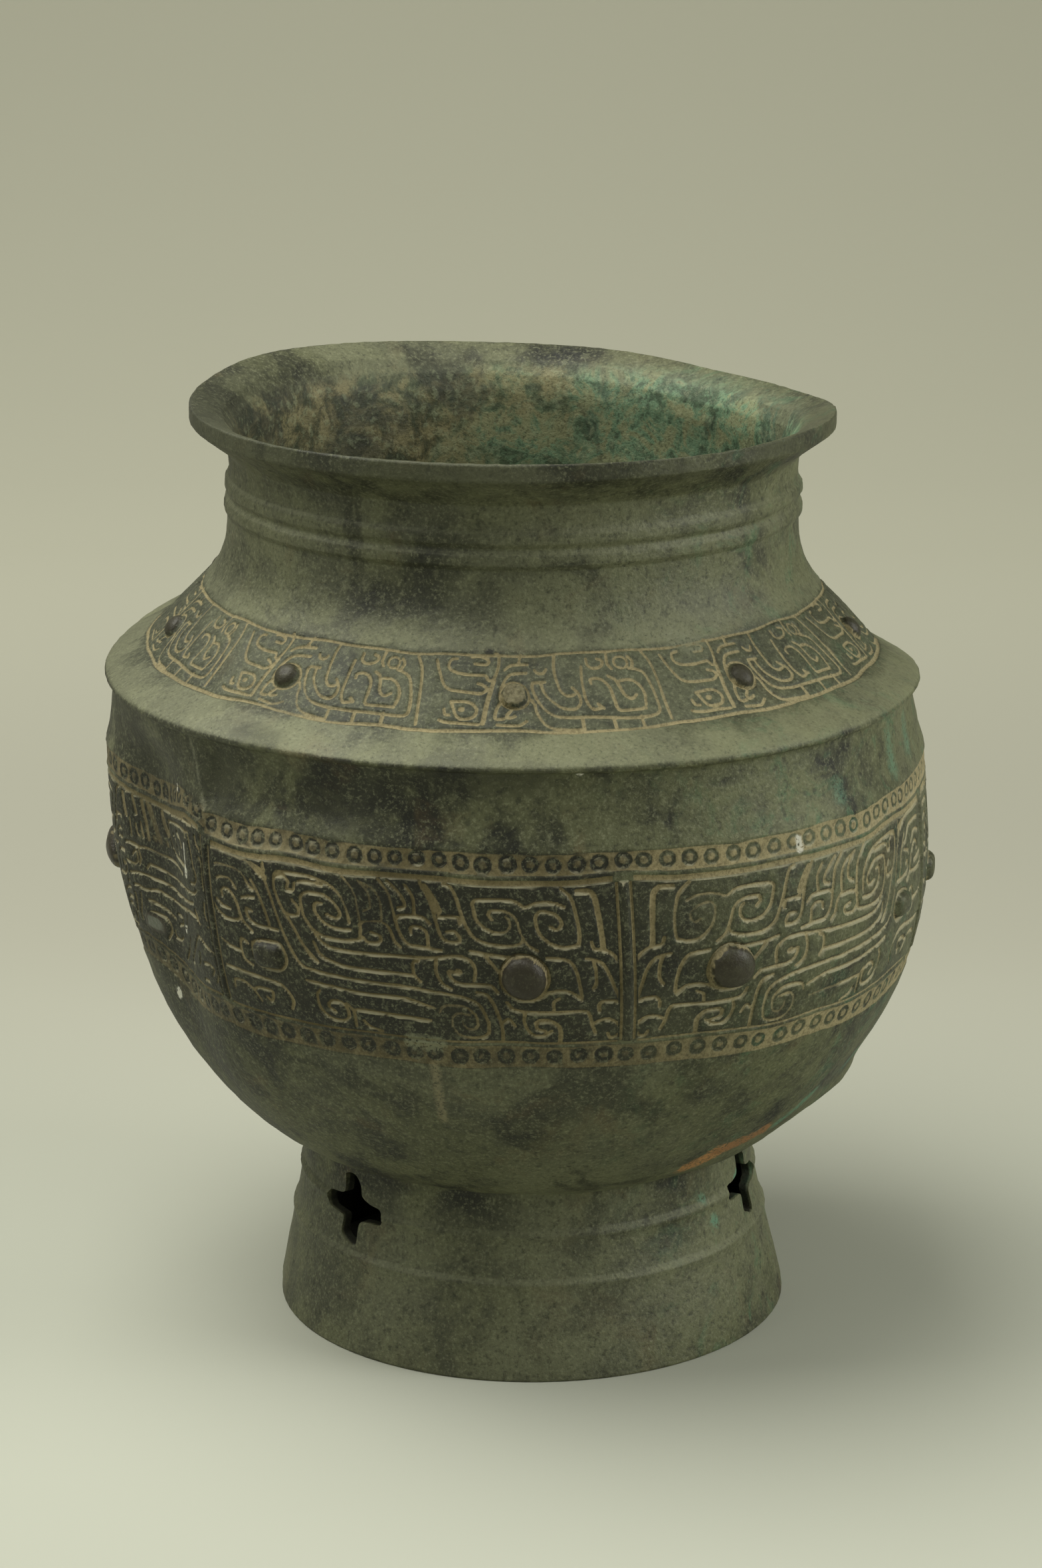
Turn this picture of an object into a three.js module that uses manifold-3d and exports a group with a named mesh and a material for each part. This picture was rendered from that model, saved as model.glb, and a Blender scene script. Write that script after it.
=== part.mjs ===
// A cast bronze lei, a wine jar of the Shang dynasty: a hollow jar on a ring foot, all one casting.
// Millimetres, +Z up, standing on z = 0. Azimuth 0 faces -Y, the front, and runs towards +X.
import * as THREE from "three";
import { mergeVertices } from "three/addons/utils/BufferGeometryUtils.js";
import Module from "manifold-3d";

const wasm = await Module();
wasm.setup();

// Wall of the casting
const wall = 3.6;

// Ring foot, a straight cone that narrows to a short neck under the belly
const footRadius = 90.9;
const footNeckRadius = 79.4;
const footHeight = 65;
const footNeckHeight = 8;
const bowstringProud = 1.1;
const bowstringHalfWidth = 2.1;
const upperBowstringBelowBelly = 15.3;
const lowerBowstringBelowBelly = 31.9;

// Three cross-shaped holes through the foot, one near each casting seam
const crossHeight = 22;
const crossWidth = 29;
const crossArmWidth = 8;
const crossArmHeight = 6.8;
const crossBelowBelly = 15.6;
const crossPastSeamDegrees = -3.5;

// Belly, from the foot up to its widest level
const bellyRadius = 143.2;
const bellyHeight = 125.4;
const bellyFullness = 2.4;
const bellyRoundness = 1.35;
const floorSag = 3.5;

// Upright wall above the belly, and the sharp shoulder edge that overhangs it
const wallHeight = 43.5;
const wallTopRadius = 139.9;
const shoulderRadius = 143;
const shoulderEdgeThickness = 3;

// Sloping shoulder with its carved band
const bandFootRise = 8.5;
const bandFootRadius = 127.6;
const bandRise = 20.2;
const bandTopRadius = 107;
const carvingProud = 1.1;

// Neck with two rounded fillets, and the flared lip
const neckRadius = 98;
const neckSweep = 24.6;
const neckFullness = 2.6;
const filletWidth = 7.2;
const filletProud = 1.3;
const filletFlat = 0.4;
const upperNeckHeight = 7.5;
const flareHeight = 10;
const lipHeight = 6.2;
const lipRadius = 111.5;
const throatRadius = 100.6;
const throatBelowLip = 4.6;

// Carved zone round the belly: a row of circlets, the mask band, and a row of circlets
const zoneBelowShoulder = 27.5;
const upperRowHeight = 8;
const maskBandHeight = 59;
const lowerRowHeight = 9.2;
const circletSpacing = 7.5;
const circletsPerStud = 2;
const studWidth = 6;
const studProud = 1;

// Three masks round the belly, each with a ridge down its nose and one at each side
const maskCount = 3;
const firstMaskDegrees = 13.6;
const ridgeWidth = 2.2;
const ridgeProud = 1.5;
const eyeFromNose = 34.5;
const eyeBelowBand = 35.2;
const eyeRadius = 6.9;
const eyeProud = 5.4;
const sideEyeFromSeam = 24.5;
const sideEyeRadius = 4.6;
const sideEyeProud = 3.2;
const scrollWidth = 4.2;
const rightHalfWiderBy = 4.3;
const rightHalfEvenFrom = 81;

// Nine dragons round the shoulder, each with one round eye and a slanting bar behind it
const dragonCount = 9;
const dragonEyeRadius = 3.9;
const dragonEyeProud = 2.6;
const dragonEyeAboveBandFoot = 12;
const barWidth = 2.4;
const barFromEye = 10.5;
const barSlant = 4.5;
const frontCrowdingDegrees = 2.1;

// How far the old jar has sunk out of true
const footLean = 2.2;
const shoulderLean = 4.8;
const neckReturn = 1.1;
const sagDrop = 4.3;
const sagDegrees = 124;
const sagSpreadDegrees = 34;
const riseLift = 4.6;
const riseDegrees = -132;
const riseSpreadDegrees = 31;
const lipPinch = 6.5;
const shoulderPinch = 5;
const shoulderPinchDegrees = 110;
const shoulderPinchSpreadDegrees = 25;
const shoulderPinchHalfHeight = 12;
const dentDepth = 3.8;
const dentDegrees = -29;
const dentSpreadDegrees = 13;
const dentBelowShoulder = 15;
const dentHalfHeight = 18;
const flankDentDepth = 10;
const flankDentDegrees = -63;
const flankDentSpreadDegrees = 10;
const flankBulge = 6.8;
const flankBulgeDegrees = 38;
const flankBulgeSpreadDegrees = 27;
const flankStartsAboveJoint = 10;
const flankFullAboveJoint = 105;
const creaseProud = 5.6;
const creaseDegrees = 84;
const creaseSpreadDegrees = 18;
const creaseAboveJoint = 20.5;
const creaseHalfHeight = 8;

// Facets
const segments = 32;
const eyeSides = 10;
const smallEyeSides = 6;
const studSides = 4;

// Levels, from the floor up
const jointZ = footHeight;
const bellyZ = jointZ + bellyHeight;
const shoulderZ = bellyZ + wallHeight;
const bandFootZ = shoulderZ + bandFootRise;
const bandTopZ = bandFootZ + bandRise;
const filletFootZ = bandTopZ + neckSweep;
const filletTopZ = filletFootZ + 2 * filletWidth;
const flareZ = filletTopZ + upperNeckHeight;
const lipFootZ = flareZ + flareHeight;
const topZ = lipFootZ + lipHeight;
const zoneTopZ = shoulderZ - zoneBelowShoulder;
const maskTopZ = zoneTopZ - upperRowHeight;
const maskFootZ = maskTopZ - maskBandHeight;
const zoneFootZ = maskFootZ - lowerRowHeight;
const footNeckZ = jointZ - footNeckHeight;

const radians = THREE.MathUtils.degToRad;
const smooth = THREE.MathUtils.smoothstep;
const lerp = THREE.MathUtils.lerp;

// Radius of the plain outer wall at a height, without fillets or carving.
function radiusAt(z) {
  if (z <= footNeckZ) return lerp(footRadius, footNeckRadius, z / footNeckZ);
  if (z <= jointZ) return footNeckRadius;
  if (z <= bellyZ) {
    const below = (bellyZ - z) / bellyHeight;
    const spread = (1 - below ** bellyFullness) ** (1 / bellyRoundness);
    return lerp(footNeckRadius, bellyRadius, spread);
  }
  if (z <= shoulderZ) {
    const above = (z - bellyZ) / wallHeight;
    return lerp(bellyRadius, wallTopRadius, above * above);
  }
  if (z <= bandFootZ) return lerp(shoulderRadius, bandFootRadius, (z - shoulderZ) / bandFootRise);
  if (z <= bandTopZ) return lerp(bandFootRadius, bandTopRadius, (z - bandFootZ) / bandRise);
  const left = Math.max(0, (filletFootZ - z) / neckSweep);
  return neckRadius + (bandTopRadius - neckRadius) * left ** neckFullness;
}

// A point of the outer wall, or proud of it, at an azimuth in radians.
function onWall(azimuth, z, proud = 0) {
  const radius = radiusAt(z) + proud;
  return [radius * Math.sin(azimuth), -radius * Math.cos(azimuth), z];
}

// Outward direction of the wall at a height, as [radial, vertical].
function wallNormal(z) {
  const step = 0.5;
  const slope = (radiusAt(z + step) - radiusAt(z - step)) / (2 * step);
  const length = Math.hypot(1, slope);
  return [1 / length, -slope / length];
}

// A point one wall inside the outer surface at a height.
function underWall(z) {
  const [out, up] = wallNormal(z);
  return [radiusAt(z) - wall * out, z - wall * up];
}

// Profiles are lists of [radius, height], from the underside of the floor outwards and back.
const plain = (z) => [radiusAt(z), z];

const bowstring = (z) => [
  plain(z - bowstringHalfWidth),
  [radiusAt(z) + bowstringProud, z],
  plain(z + bowstringHalfWidth),
];

const fillet = (z) => [
  [neckRadius + filletProud, z + (filletWidth * (1 - filletFlat)) / 2],
  [neckRadius + filletProud, z + (filletWidth * (1 + filletFlat)) / 2],
  [neckRadius, z + filletWidth],
];

function footInside() {
  return [
    [0, jointZ],
    [footNeckRadius - wall, jointZ + floorSag],
    [footNeckRadius - wall, footNeckZ],
    [footRadius - wall, 0],
  ];
}

function outside() {
  const shares = [0.04, 0.16, 0.24, 0.38, 0.56, 0.78, 1];
  return [
    [footRadius, 0],
    ...bowstring(jointZ - lowerBowstringBelowBelly),
    ...bowstring(jointZ - upperBowstringBelowBelly),
    [footNeckRadius, jointZ],
    ...shares.map((share) => plain(lerp(jointZ, bellyZ, share))),
    plain(zoneTopZ),
    [wallTopRadius, shoulderZ - shoulderEdgeThickness],
    [shoulderRadius, shoulderZ - shoulderEdgeThickness / 2],
    [shoulderRadius - shoulderEdgeThickness / 3, shoulderZ + shoulderEdgeThickness / 3],
    plain(bandFootZ),
    plain(bandTopZ),
    plain(lerp(bandTopZ, filletFootZ, 0.35)),
    [neckRadius, filletFootZ],
    ...fillet(filletFootZ),
    ...fillet(filletFootZ + filletWidth),
    [neckRadius, flareZ],
    [lerp(neckRadius, lipRadius, 0.45), lerp(flareZ, lipFootZ, 0.4)],
    [lipRadius, lipFootZ],
    [lipRadius, topZ],
  ];
}

function inside() {
  const neck = [filletTopZ, filletFootZ, bandTopZ, bandFootZ];
  const belly = [1, 0.6, 0.32, 0.14, 0.04].map((share) => lerp(jointZ, bellyZ, share));
  return [
    [throatRadius, topZ - throatBelowLip],
    ...neck.map(underWall),
    [wallTopRadius - wall, shoulderZ - wall],
    ...belly.map(underWall),
    [footNeckRadius - wall, jointZ + floorSag + wall],
    [0, jointZ + wall],
  ];
}

// A closed three.js geometry as a solid that can be joined and cut.
function solidOf(geometry) {
  const bare = geometry.clone();
  for (const name of ["normal", "uv"]) bare.deleteAttribute(name);
  const merged = mergeVertices(bare, 1e-4);
  return new wasm.Manifold(
    new wasm.Mesh({
      numProp: 3,
      vertProperties: merged.attributes.position.array,
      triVerts: new Uint32Array(merged.index.array),
    }),
  );
}

// A geometry whose +Y is turned to stand out from the wall at an azimuth and height.
function onWallFacing(geometry, azimuth, z) {
  const [out, up] = wallNormal(z);
  geometry.rotateX(Math.PI - Math.atan2(up, out));
  geometry.rotateZ(azimuth);
  geometry.translate(...onWall(azimuth, z));
  return solidOf(geometry);
}

// A round eye that stands out as a dome.
function eye(azimuth, z, radius, proud, sides) {
  const dome = [
    [0, -wall / 2],
    [radius, -wall / 2],
    [radius, proud * 0.15],
    [radius * 0.72, proud * 0.75],
    [0, proud],
  ];
  const profile = dome.map(([r, y]) => new THREE.Vector2(r, y));
  return onWallFacing(new THREE.LatheGeometry(profile, sides), azimuth, z);
}

// A flat strip raised on the wall along a line of [distance round the wall, height] points.
function strip(azimuth, radius, line, width, proud) {
  const positions = [];
  line.forEach(([along, z], i) => {
    const before = line[Math.max(0, i - 1)];
    const after = line[Math.min(line.length - 1, i + 1)];
    const run = Math.hypot(after[0] - before[0], after[1] - before[1]);
    const side = [(before[1] - after[1]) / run, (after[0] - before[0]) / run];
    for (const [half, out] of [[-1, proud], [1, proud], [1, -wall / 2], [-1, -wall / 2]]) {
      const offset = (half * width) / 2;
      positions.push(...onWall(azimuth + (along + side[0] * offset) / radius, z + side[1] * offset, out));
    }
  });
  const end = 4 * (line.length - 1);
  const index = [0, 1, 2, 0, 2, 3, end, end + 2, end + 1, end, end + 3, end + 2];
  for (let i = 0; i < end; i += 4) {
    for (let corner = 0; corner < 4; corner++) {
      const here = i + corner;
      const next = i + ((corner + 1) % 4);
      index.push(here, here + 4, next + 4, here, next + 4, next);
    }
  }
  const geometry = new THREE.BufferGeometry();
  geometry.setAttribute("position", new THREE.Float32BufferAttribute(positions, 3));
  geometry.setIndex(index);
  return solidOf(geometry);
}

// Points on a scroll about a centre, from the outer turn in.
function scroll(centre, outer, inner, from, turn, steps) {
  return Array.from({ length: steps + 1 }, (_, i) => {
    const radius = lerp(outer, inner, i / steps);
    const angle = radians(from + (turn * i) / steps);
    return [centre[0] + radius * Math.cos(angle), centre[1] + radius * Math.sin(angle)];
  });
}

// The broad forms of half a mask, as [share of the half width from the nose, share of the band's depth].
function halfMask(reach, deep) {
  const at = (share, down) => [share * reach, down * deep];
  const innerHorn = scroll(at(0.15, 0.27), 8, 3.8, 60, -320, 4);
  const outerHorn = scroll(at(0.31, 0.26), 8.4, 3.8, 150, -320, 4);
  const body = [at(0.36, 0.6), at(0.54, 0.58), ...scroll(at(0.665, 0.285), 12, 4.6, 80, -380, 5)];
  const flank = [at(0.84, 0.08), at(0.8, 0.5), at(0.66, 0.76), at(0.44, 0.74)];
  const claw = scroll(at(0.34, 0.86), 4.6, 2.8, 60, -200, 2);
  const fang = scroll(at(0.14, 0.88), 4.6, 2.8, 150, 200, 2);
  const crest = scroll(at(0.93, 0.24), 5, 3, 40, -200, 2);
  return [innerHorn, outerHorn, body, flank, claw, fang, crest];
}

// Distance from the nose of a point of the drawing. The right half is drawn wider about its eye.
function fromNose(side, along) {
  const fades = smooth(along, eyeFromNose + eyeRadius, rightHalfEvenFrom);
  const part = smooth(along, 0, eyeFromNose) * (1 - fades);
  return side > 0 ? along + rightHalfWiderBy * part : -along;
}

function maskBand() {
  const pieces = [];
  const radius = radiusAt(maskTopZ);
  const turn = (2 * Math.PI) / maskCount;
  const reach = (radius * turn) / 2;
  const middleZ = (maskFootZ + maskTopZ) / 2;
  const upright = [[0, maskFootZ], [0, middleZ], [0, maskTopZ]];
  const eyeZ = maskTopZ - eyeBelowBand;
  for (let mask = 0; mask < maskCount; mask++) {
    const nose = radians(firstMaskDegrees) + mask * turn;
    pieces.push(strip(nose, radius, upright, ridgeWidth, ridgeProud));
    pieces.push(strip(nose + turn / 2, radius, upright, ridgeWidth, ridgeProud));
    for (const side of [-1, 1]) {
      const at = nose + fromNose(side, eyeFromNose) / radius;
      const atSide = nose + fromNose(side, reach - sideEyeFromSeam) / radius;
      pieces.push(eye(at, eyeZ, eyeRadius, eyeProud, eyeSides));
      pieces.push(eye(atSide, eyeZ, sideEyeRadius, sideEyeProud, smallEyeSides));
      for (const line of halfMask(reach, maskBandHeight)) {
        const placed = line.map(([along, down]) => [fromNose(side, along), maskTopZ - down]);
        const ordered = side > 0 ? placed.reverse() : placed;
        pieces.push(strip(nose, radius, ordered, scrollWidth, carvingProud));
      }
    }
  }
  return pieces;
}

// One row of small pointed studs that stand for the cast circlets.
function studRow(z) {
  const count = Math.round((2 * Math.PI * radiusAt(z)) / (circletSpacing * circletsPerStud));
  return Array.from({ length: count }, (_, i) => {
    const height = wall / 2 + studProud;
    const stud = new THREE.ConeGeometry(studWidth / 2, height, studSides);
    stud.translate(0, (studProud - wall / 2) / 2, 0);
    return onWallFacing(stud, radians(firstMaskDegrees) + (2 * Math.PI * (i + 0.5)) / count, z);
  });
}

function shoulderBand() {
  const pieces = [];
  const radius = (bandFootRadius + bandTopRadius) / 2;
  const eyeZ = bandFootZ + dragonEyeAboveBandFoot;
  const share = (part) => lerp(bandFootZ, bandTopZ, part);
  const body = [[7, share(0.72)], [11, share(0.3)], [32, share(0.24)], [34, share(0.72)]];
  const bar = [[-barFromEye - barSlant / 2, share(0.08)], [barSlant / 2 - barFromEye, share(0.92)]];
  for (let i = 0; i < dragonCount; i++) {
    const even = (2 * Math.PI * i) / dragonCount;
    const azimuth = even - radians(frontCrowdingDegrees) * Math.sin(even);
    pieces.push(eye(azimuth, eyeZ, dragonEyeRadius, dragonEyeProud, smallEyeSides));
    pieces.push(strip(azimuth, radius, body, scrollWidth, carvingProud));
    pieces.push(strip(azimuth, radius, bar, barWidth, carvingProud));
  }
  return pieces;
}

// A cross-shaped cutter through the foot's wall.
function cross(azimuth) {
  const z = jointZ - crossBelowBelly;
  const depth = 6 * wall;
  const box = (width, tall) => {
    const arm = new THREE.BoxGeometry(width, depth, tall);
    arm.translate(0, -radiusAt(z) + wall / 2, z);
    arm.rotateZ(azimuth);
    return solidOf(arm);
  };
  return box(crossArmWidth, crossHeight).add(box(crossWidth, crossArmHeight));
}

// A smooth bump: 1 at its middle, and falling away over its spread.
const bump = (distance, spread) => Math.exp(-((distance / spread) ** 2));

// How far an azimuth lies from a direction given in degrees, in degrees.
function degreesFrom(azimuth, degrees) {
  const turn = azimuth - radians(degrees);
  return THREE.MathUtils.radToDeg(Math.atan2(Math.sin(turn), Math.cos(turn)));
}

// Age: the jar leans, its back has sunk on one side and risen on the other, and its wall is dented.
function settle([x, y, z]) {
  const azimuth = Math.atan2(x, -y);
  const radius = Math.hypot(x, y);
  const sag = bump(degreesFrom(azimuth, sagDegrees), sagSpreadDegrees);
  const rise = bump(degreesFrom(azimuth, riseDegrees), riseSpreadDegrees);
  const lipPart = smooth(z, filletFootZ + filletWidth, topZ);
  const shoulderPart =
    bump(degreesFrom(azimuth, shoulderPinchDegrees), shoulderPinchSpreadDegrees) *
    bump(z - shoulderZ, shoulderPinchHalfHeight);
  const dentZ = shoulderZ - dentBelowShoulder;
  const dent =
    bump(degreesFrom(azimuth, dentDegrees), dentSpreadDegrees) * bump(z - dentZ, dentHalfHeight);
  const flankPart = smooth(z, jointZ + flankStartsAboveJoint, jointZ + flankFullAboveJoint);
  const flankDent =
    bump(degreesFrom(azimuth, flankDentDegrees), flankDentSpreadDegrees) *
    (1 - smooth(z, zoneTopZ, shoulderZ - shoulderEdgeThickness));
  const bulge =
    bump(degreesFrom(azimuth, flankBulgeDegrees), flankBulgeSpreadDegrees) *
    (1 - smooth(z, zoneTopZ, bandTopZ));
  const crease =
    bump(degreesFrom(azimuth, creaseDegrees), creaseSpreadDegrees) *
    bump(z - jointZ - creaseAboveJoint, creaseHalfHeight);
  const dented = shoulderPinch * shoulderPart + dentDepth * dent + flankDentDepth * flankDent * flankPart;
  const swollen = flankBulge * bulge * flankPart + creaseProud * crease;
  const outer = smooth(radius, 0, wallTopRadius);
  const inward = lipPinch * sag * lipPart + (dented - swollen) * outer;
  const scale = radius > 0 ? (radius - inward) / radius : 1;
  const middleZ = (jointZ + bellyZ) / 2;
  const lean =
    footLean * Math.min(z / jointZ, 1) +
    shoulderLean * smooth(z, middleZ, shoulderZ) -
    neckReturn * smooth(z, bandTopZ, topZ);
  const aged = smooth(z, zoneTopZ, shoulderZ);
  return [x * scale - lean, y * scale, z + (riseLift * rise - sagDrop * sag) * aged];
}

function jar() {
  const outline = [...footInside(), ...outside(), ...inside()];
  const lathe = new THREE.LatheGeometry(outline.map(([r, z]) => new THREE.Vector2(r, z)), segments);
  lathe.rotateX(Math.PI / 2);
  const rows = [
    ...studRow((zoneTopZ + maskTopZ) / 2),
    ...studRow((zoneFootZ + maskFootZ) / 2),
  ];
  const whole = wasm.Manifold.union([solidOf(lathe), ...maskBand(), ...rows, ...shoulderBand()]);
  const holes = Array.from({ length: maskCount }, (_, i) => {
    const seam = firstMaskDegrees + ((i + 0.5) * 360) / maskCount;
    return cross(radians(seam + crossPastSeamDegrees));
  });
  return whole.subtract(wasm.Manifold.union(holes));
}

// The finished solid as a geometry, settled and centred on its box.
function finished(solid) {
  const mesh = solid.getMesh();
  const settled = [];
  for (let i = 0; i < mesh.vertProperties.length; i += mesh.numProp) {
    settled.push(...settle(Array.from(mesh.vertProperties.slice(i, i + 3))));
  }
  const geometry = new THREE.BufferGeometry();
  geometry.setAttribute("position", new THREE.Float32BufferAttribute(settled, 3));
  geometry.setIndex(new THREE.BufferAttribute(mesh.triVerts, 1));
  geometry.computeBoundingBox();
  const { min, max } = geometry.boundingBox;
  geometry.translate(-(min.x + max.x) / 2, -(min.y + max.y) / 2, 0);
  geometry.computeVertexNormals();
  return geometry;
}

const bronze = new THREE.MeshStandardMaterial({ color: 0x555a48, roughness: 0.62, metalness: 0.55 });
const vessel = new THREE.Mesh(finished(jar()), bronze);
vessel.name = "vessel";

const lei = new THREE.Group();
lei.add(vessel);

export default lei;
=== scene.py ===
"""A cast bronze lei wine vessel: its fine relief, patina and soil, on the plain ground of a museum photo."""

import math

import bmesh
import bpy
import numpy as np
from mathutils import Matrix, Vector


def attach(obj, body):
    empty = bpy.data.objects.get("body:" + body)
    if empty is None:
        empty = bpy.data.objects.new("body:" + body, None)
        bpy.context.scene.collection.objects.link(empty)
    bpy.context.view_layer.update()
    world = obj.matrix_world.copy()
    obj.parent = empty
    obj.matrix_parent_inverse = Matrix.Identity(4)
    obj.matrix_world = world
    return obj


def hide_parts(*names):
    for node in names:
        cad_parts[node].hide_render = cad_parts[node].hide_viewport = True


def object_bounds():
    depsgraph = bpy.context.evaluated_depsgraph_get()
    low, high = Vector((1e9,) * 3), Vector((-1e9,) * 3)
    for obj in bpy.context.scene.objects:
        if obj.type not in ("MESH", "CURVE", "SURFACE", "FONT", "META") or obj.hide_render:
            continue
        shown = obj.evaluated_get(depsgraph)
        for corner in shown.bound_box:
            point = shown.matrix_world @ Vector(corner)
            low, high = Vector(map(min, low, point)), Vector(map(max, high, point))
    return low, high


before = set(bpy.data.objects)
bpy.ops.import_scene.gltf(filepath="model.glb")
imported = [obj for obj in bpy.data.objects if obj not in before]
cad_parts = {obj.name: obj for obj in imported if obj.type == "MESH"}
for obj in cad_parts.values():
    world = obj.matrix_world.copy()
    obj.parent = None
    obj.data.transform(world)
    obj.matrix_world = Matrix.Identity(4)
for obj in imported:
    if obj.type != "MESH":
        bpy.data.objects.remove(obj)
cad_low, cad_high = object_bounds()

# -------------------- sizes, in millimetres, z up from the floor
MM = 0.001
WALL = 3.6
FOOT_RADIUS = 90.9
FOOT_NECK_RADIUS = 79.4
JOINT_Z = 65.0
FOOT_NECK_Z = JOINT_Z - 8.0
BELLY_Z = JOINT_Z + 125.4
BELLY_RADIUS = 143.2
BELLY_FULLNESS = 2.4
BELLY_ROUNDNESS = 1.35
FLOOR_SAG = 3.5
SHOULDER_Z = BELLY_Z + 43.5
WALL_TOP_RADIUS = 139.9
SHOULDER_RADIUS = 143.0
SHOULDER_EDGE = 3.0
LEAN_AT_JOINT = 2.2
LEAN_ABOVE = 4.8
BAND_FOOT_Z = SHOULDER_Z + 8.5
BAND_FOOT_RADIUS = 127.6
BAND_TOP_Z = BAND_FOOT_Z + 20.2
BAND_TOP_RADIUS = 107.0
NECK_SWEEP = 24.6
NECK_RADIUS = 98.0
NECK_FULLNESS = 2.6
FILLET_FOOT_Z = BAND_TOP_Z + NECK_SWEEP
FILLET_WIDTH = 7.2
FILLET_PROUD = 1.3
FLARE_Z = FILLET_FOOT_Z + 21.9
LIP_FOOT_Z = FLARE_Z + 10.0
TOP_Z = LIP_FOOT_Z + 6.2
LIP_RADIUS = 111.5
THROAT_RADIUS = 100.6
THROAT_BELOW_LIP = 4.6
BOWSTRINGS = (JOINT_Z - 31.9, JOINT_Z - 15.3)
BOWSTRING_PROUD = 1.1
BOWSTRING_HALF = 2.1

# The ring rows and the mask band
ZONE_TOP_Z = SHOULDER_Z - 27.5
ZONE_FOOT_Z = ZONE_TOP_Z - 76.2
MASK_DATUM_Z = ZONE_TOP_Z - 6.5
MASK_RADIUS = 142.5
MASK_HALF = math.radians(60) * MASK_RADIUS
NOSE_DEGREES = 13.6
SEAM_DEGREES = -46.4
UPPER_RINGS = (ZONE_TOP_Z - 3.9, 123)
LOWER_RINGS = (ZONE_FOOT_Z + 4.9, 111)
RING_RADIUS = 2.1

# Bosses: mm from the mask's edge, and mm below the datum line
EYE = (115.9, 35.9)
EYE_RADIUS = 7.4
EYE_HEIGHT = 4.7
SQUARE_BOSS = (26, 37)
SQUARE_HEIGHT = 2.7
WORN_PATCH = (59, 48.6)
WORN_HEIGHT = 0.4

# The shoulder dragons
DRAGONS = 9
UNIT_START_DEGREES = -14.0
UNIT_RADIUS = 117.4
UNIT_WIDTH = math.radians(40) * UNIT_RADIUS
UNIT_DATUM_Z = BAND_TOP_Z + 1.3
UNIT_FALL = 23 / 32.5
FRONT_CROWDING_DEGREES = 2.1
DRAGON_EYE = (29.5, 17.7)
DRAGON_EYE_RADIUS = 4.3
DRAGON_EYE_HEIGHT = 2.8

# Crosses through the foot
CROSS_Z = JOINT_Z - 15.6
CROSS_DEGREES = (-49.9, 70.1, 190.1)

COLUMNS = 1800
FINE_PITCH = 0.5
COARSE_SHARE = 4
MOST_TRIANGLES = 192000
ATTRIBUTES = ("soil", "plate", "bare", "inside")

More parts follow.
